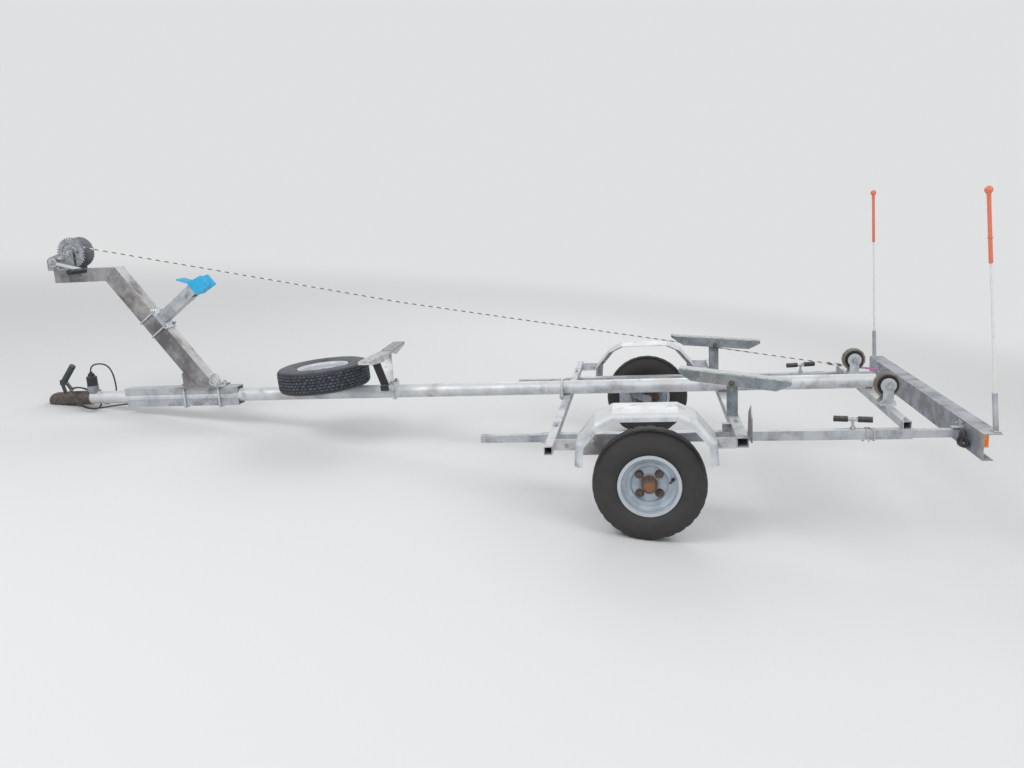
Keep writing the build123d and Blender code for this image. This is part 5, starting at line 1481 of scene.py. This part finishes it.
@dataclass
class Studio:
    """Plain pale floor, soft lights and the photograph's camera."""

    trailer: Trailer
    lens: float = 30.23
    sensor: float = 36.0
    stand: Point = (-0.003, -3.71, 0.995)
    photo_pitch: float = 4.8
    yaw: float = 8.06
    dip: float = 12.3
    roll: float = 1.73
    floor_half: float = 60.0
    floor_colour: Colour = (0.8, 0.8, 0.79)
    haze_colour: Colour = (0.74, 0.75, 0.755)

    def camera(self) -> bpy.types.Object:
        """Camera at the photograph's place beside the trailer.

        Returns:
            The camera, which the scene now uses.
        """
        turn = Matrix.Rotation(radians(self.photo_pitch), 4, "Y")
        aim = Matrix.Rotation(radians(self.yaw), 4, "Z") @ Matrix.Rotation(pi / 2 - radians(self.dip), 4, "X")
        aim = aim @ Matrix.Rotation(radians(self.roll), 4, "Z")
        data = bpy.data.cameras.new("camera")
        data.lens = self.lens
        data.sensor_width = self.sensor
        data.clip_end = 100.0
        made = new_object("camera", data)
        made.matrix_world = self.trailer.place() @ Matrix.Translation(self.stand) @ turn @ aim
        bpy.context.scene.camera = made
        return made

    @staticmethod
    def seen(s: Shader) -> bpy.types.NodeSocket:
        """What the camera sees, straight or in a shiny or clear surface.

        Args:
            s: the material's or the world's tree.

        Returns:
            A mask that is 1 for such rays.
        """
        path = s.tree.nodes.new("ShaderNodeLightPath")
        shown = s.math("MAXIMUM", path.outputs["Is Camera Ray"], path.outputs["Is Glossy Ray"])
        return s.math("MAXIMUM", shown, path.outputs["Is Transmission Ray"])

    def floor(self) -> bpy.types.Object:
        """Wide pale floor that keeps the trailer's shadow.

        Returns:
            The floor, which is declared as stage.
        """
        mesh = bpy.data.meshes.new("floor")
        corners = oblong((-self.floor_half, -self.floor_half), (self.floor_half, self.floor_half))
        mesh.from_pydata([(*corner, 0) for corner in corners], [], [(0, 1, 2, 3)])
        material = bpy.data.materials.new("studio_floor")
        material.use_nodes = True
        surface = material.node_tree.nodes["Principled BSDF"]
        surface.inputs["Base Color"].default_value = (*self.floor_colour, 1.0)
        surface.inputs["Roughness"].default_value = 0.95
        s = Shader(material.node_tree)
        far = s.times(s.ramp(s.vector("LENGTH", s.coords()), 3.2, 8.5), self.seen(s))
        haze = s.add("ShaderNodeEmission", Color=self.haze_colour, Strength=1.0)
        s.feed(s.tree.nodes["Material Output"].inputs["Surface"],
               s.blend(far, surface.outputs["BSDF"], haze.outputs["Emission"]))
        made = new_object("studio_floor", mesh, material)
        made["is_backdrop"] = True
        return made

    def lights(self) -> None:
        """Soft overcast light: a pale world and three large lamps."""
        world = bpy.data.worlds.new("studio_world")
        bpy.context.scene.world = world
        world.use_nodes = True
        s = Shader(world.node_tree)
        sky = world.node_tree.nodes["Background"]
        sky.inputs["Color"].default_value = (0.93, 0.96, 1.0, 1.0)
        sky.inputs["Strength"].default_value = 0.5
        haze = s.add("ShaderNodeBackground", Color=self.haze_colour, Strength=1.0)
        s.feed(s.tree.nodes["World Output"].inputs["Surface"],
               s.blend(self.seen(s), sky.outputs[0], haze.outputs[0]))
        lamps = (("key", (-2.6, -4.2, 4.6), 3.0, 150.0), ("fill", (3.4, -2.4, 3.8), 3.5, 60.0),
                 ("back", (0.5, 4.6, 4.2), 4.0, 90.0))
        for name, place, size, power in lamps:
            data = bpy.data.lights.new(name, "AREA")
            data.shape = "DISK"
            data.size = size
            data.energy = power
            made = new_object(name, data)
            made.location = place
            made.rotation_euler = (Vector((0, 0, 0.3)) - Vector(place)).to_track_quat("-Z", "Y").to_euler()

    def build(self) -> None:
        """Sets the stage."""
        self.camera()
        self.floor()
        self.lights()
        bpy.context.scene.view_settings.view_transform = "Standard"


class Wardrobe:
    """Every finish of the trailer, and the nodes that wear it."""

    def __init__(self, trailer: Trailer) -> None:
        """Builds all materials.

        Args:
            trailer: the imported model.
        """
        self.trailer = trailer
        self.effects = Effects()
        hubs = {side: tuple(trailer.hub(f"wheel_{side}_spin")) for side in ("near", "far")}
        spare = tuple(trailer.point(*SPARE_CENTRE))
        upright = tuple(trailer.place().to_3x3() @ SPARE_AXIS)
        finishes = [
            Galvanised("galvanised"),
            Galvanised("galvanised_pale", base=(0.68, 0.7, 0.72), cool=(0.5, 0.53, 0.57), stains=0.38,
                       rust_cover=0.22),
            Galvanised("galvanised_stained", base=(0.35, 0.33, 0.325), cool=(0.235, 0.235, 0.25),
                       warm=(0.35, 0.31, 0.29), stain=(0.07, 0.066, 0.07), stains=0.5, rust_cover=0.3,
                       stain_size=8.0, stain_depth=0.78),
            Galvanised("teal_zinc", base=(0.26, 0.3, 0.33), cool=(0.17, 0.205, 0.235), warm=(0.33, 0.31, 0.3),
                       stain=(0.08, 0.085, 0.085), stains=0.45, rust_cover=0.25),
            Galvanised("dark_zinc", base=(0.3, 0.32, 0.36), cool=(0.2, 0.22, 0.27), warm=(0.36, 0.33, 0.31),
                       bleach=(0.55, 0.56, 0.58), stains=0.48, rust_cover=0.3),
            Rusted("cast_head", base=(0.07, 0.07, 0.075), rust=(0.105, 0.08, 0.062), cover=0.38),
            *(Rusted(f"rusty_cap_{side}", base=(0.062, 0.047, 0.043), rust=(0.1, 0.062, 0.047), core=hub)
              for side, hub in hubs.items()),
            Rusted("wheel_nut_steel", base=(0.05, 0.045, 0.045), rust=(0.1, 0.062, 0.045), cover=0.45),
            Plated("bright_steel"),
            Plated("crank_zinc", base=(0.74, 0.75, 0.76), mark=(0.42, 0.4, 0.38), cover=0.4),
            Plated("winch_zinc", base=(0.42, 0.45, 0.48), mark=(0.14, 0.14, 0.15), cover=0.5),
            Moulded("black_rubber", (0.02, 0.02, 0.021), (0.06, 0.057, 0.054)),
            Moulded("black_plastic", (0.018, 0.018, 0.019), (0.05, 0.05, 0.052), rough=0.45),
            Moulded("lever_grey", (0.035, 0.047, 0.052), (0.085, 0.1, 0.105), rough=0.55),
            Moulded("grip_blue_black", (0.012, 0.016, 0.026), (0.035, 0.045, 0.06), rough=0.5),
            Moulded("pink_line", (0.5, 0.15, 0.4), (0.55, 0.3, 0.5), rough=0.8, dust=0.1),
            Moulded("pale_line", (0.62, 0.6, 0.58), (0.4, 0.37, 0.35), rough=0.8),
            Moulded("blue_rubber", (0.015, 0.39, 0.72), (0.06, 0.5, 0.78), rough=0.45, wear=0.5, dust=0.05),
            SpeckledPad("pad_cover"),
            Moulded("roller_rubber", (0.12, 0.105, 0.095), (0.3, 0.27, 0.24), rough=0.75, grain=160.0, wear=0.8),
            WeatheredTimber("pad_timber"),
            WireRope("wire_rope"),
            Gloss("pole_white", (0.78, 0.78, 0.76), (0.5, 0.48, 0.45)),
            Gloss("sleeve_red", (0.8, 0.2, 0.115), (0.62, 0.27, 0.19)),
            Lens("lamp_red", (0.5, 0.015, 0.01)),
            Lens("reflector_orange", (0.85, 0.24, 0.02)),
            *(TyreRubber(f"tyre_{side}_rubber", hub) for side, hub in hubs.items()),
            TyreRubber("spare_tyre_rubber", spare, axis=upright, base=(0.012, 0.014, 0.021),
                       dusty=(0.17, 0.18, 0.2), dust=0.85, ridge=(0.085, 0.1, 0.13)),
            *(RoadRim(f"rim_{side}_zinc", hub) for side, hub in hubs.items()),
            RoadRim("spare_zinc", spare, base=(0.66, 0.68, 0.7), dirt=(0.36, 0.36, 0.38)),
        ]
        self.made = {finish.name: finish.build(self.effects) for finish in finishes}

    def dress_nodes(self) -> None:
        """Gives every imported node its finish."""
        worn = {
            "galvanised": ("clamp_channels", "snubber_stem", "snubber_adapter", "spare_carrier", "cross_front",
                           "cross_mid", "cross_rear", "side_rails", "packing_plates", "hangers", "slide_tubes",
                           "pole_sockets"),
            "teal_zinc": ("bunk_posts", "bunk_near", "bunk_far"),
            "galvanised_pale": ("drawbar", "mudguard_near", "mudguard_far", "guard_brackets", "bow_cradle",
                                "roller_forks", "u_bolts"),
            "galvanised_stained": ("winch_post", "post_foot"),
            "dark_zinc": ("light_beam", "half_axles", "plug_holder"),
            "cast_head": ("coupling_head",),
            "bright_steel": ("clamp_screws",),
            "crank_zinc": ("winch_crank",),
            "lever_grey": ("coupling_lever",),
            "winch_zinc": ("winch_drum", "winch_frame"),
            "black_rubber": ("lead_grommet",),
            "pad_cover": ("cradle_pads",),
            "black_plastic": ("plug", "crank_grip", "clamp_grips"),
            "blue_rubber": ("bow_snubber",),
            "pad_timber": ("bunk_strip_near", "bunk_strip_far"),
            "roller_rubber": ("roller_near", "roller_far"),
            "wire_rope": ("winch_cable", "cable_winding"),
            "pole_white": ("marker_poles",),
            "sleeve_red": ("marker_sleeves",),
            "lamp_red": ("lamps",),
            "reflector_orange": ("reflectors",),
            "spare_tyre_rubber": ("spare_tyre",),
            "spare_zinc": ("spare_rim",),
        }
        for side in ("near", "far"):
            worn |= {f"rusty_cap_{side}": (f"hub_{side}",), f"tyre_{side}_rubber": (f"tyre_{side}",),
                     f"rim_{side}_zinc": (f"rim_{side}",)}
        for finish, nodes in worn.items():
            for name in nodes:
                node = self.trailer.node(name)
                for slot in node.material_slots:
                    slot.material = self.made[finish]
                LOG.info("%s wears %s", name, finish)


def main(frame: dict, bare: tuple[Vector, Vector]) -> None:
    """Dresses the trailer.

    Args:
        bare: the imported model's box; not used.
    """
    logging.basicConfig(level=logging.INFO, format="%(name)s: %(message)s")
    trailer = Trailer(frame)
    Studio(trailer).build()
    wardrobe = Wardrobe(trailer)
    LightingLead(trailer).build(wardrobe.made["black_rubber"])
    wardrobe.dress_nodes()
    for dresser in (Fasteners, Tyres, WinchDress, SmallPieces):
        dresser(wardrobe).build()


if __name__ == "__main__":
    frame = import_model()
    main(frame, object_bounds())
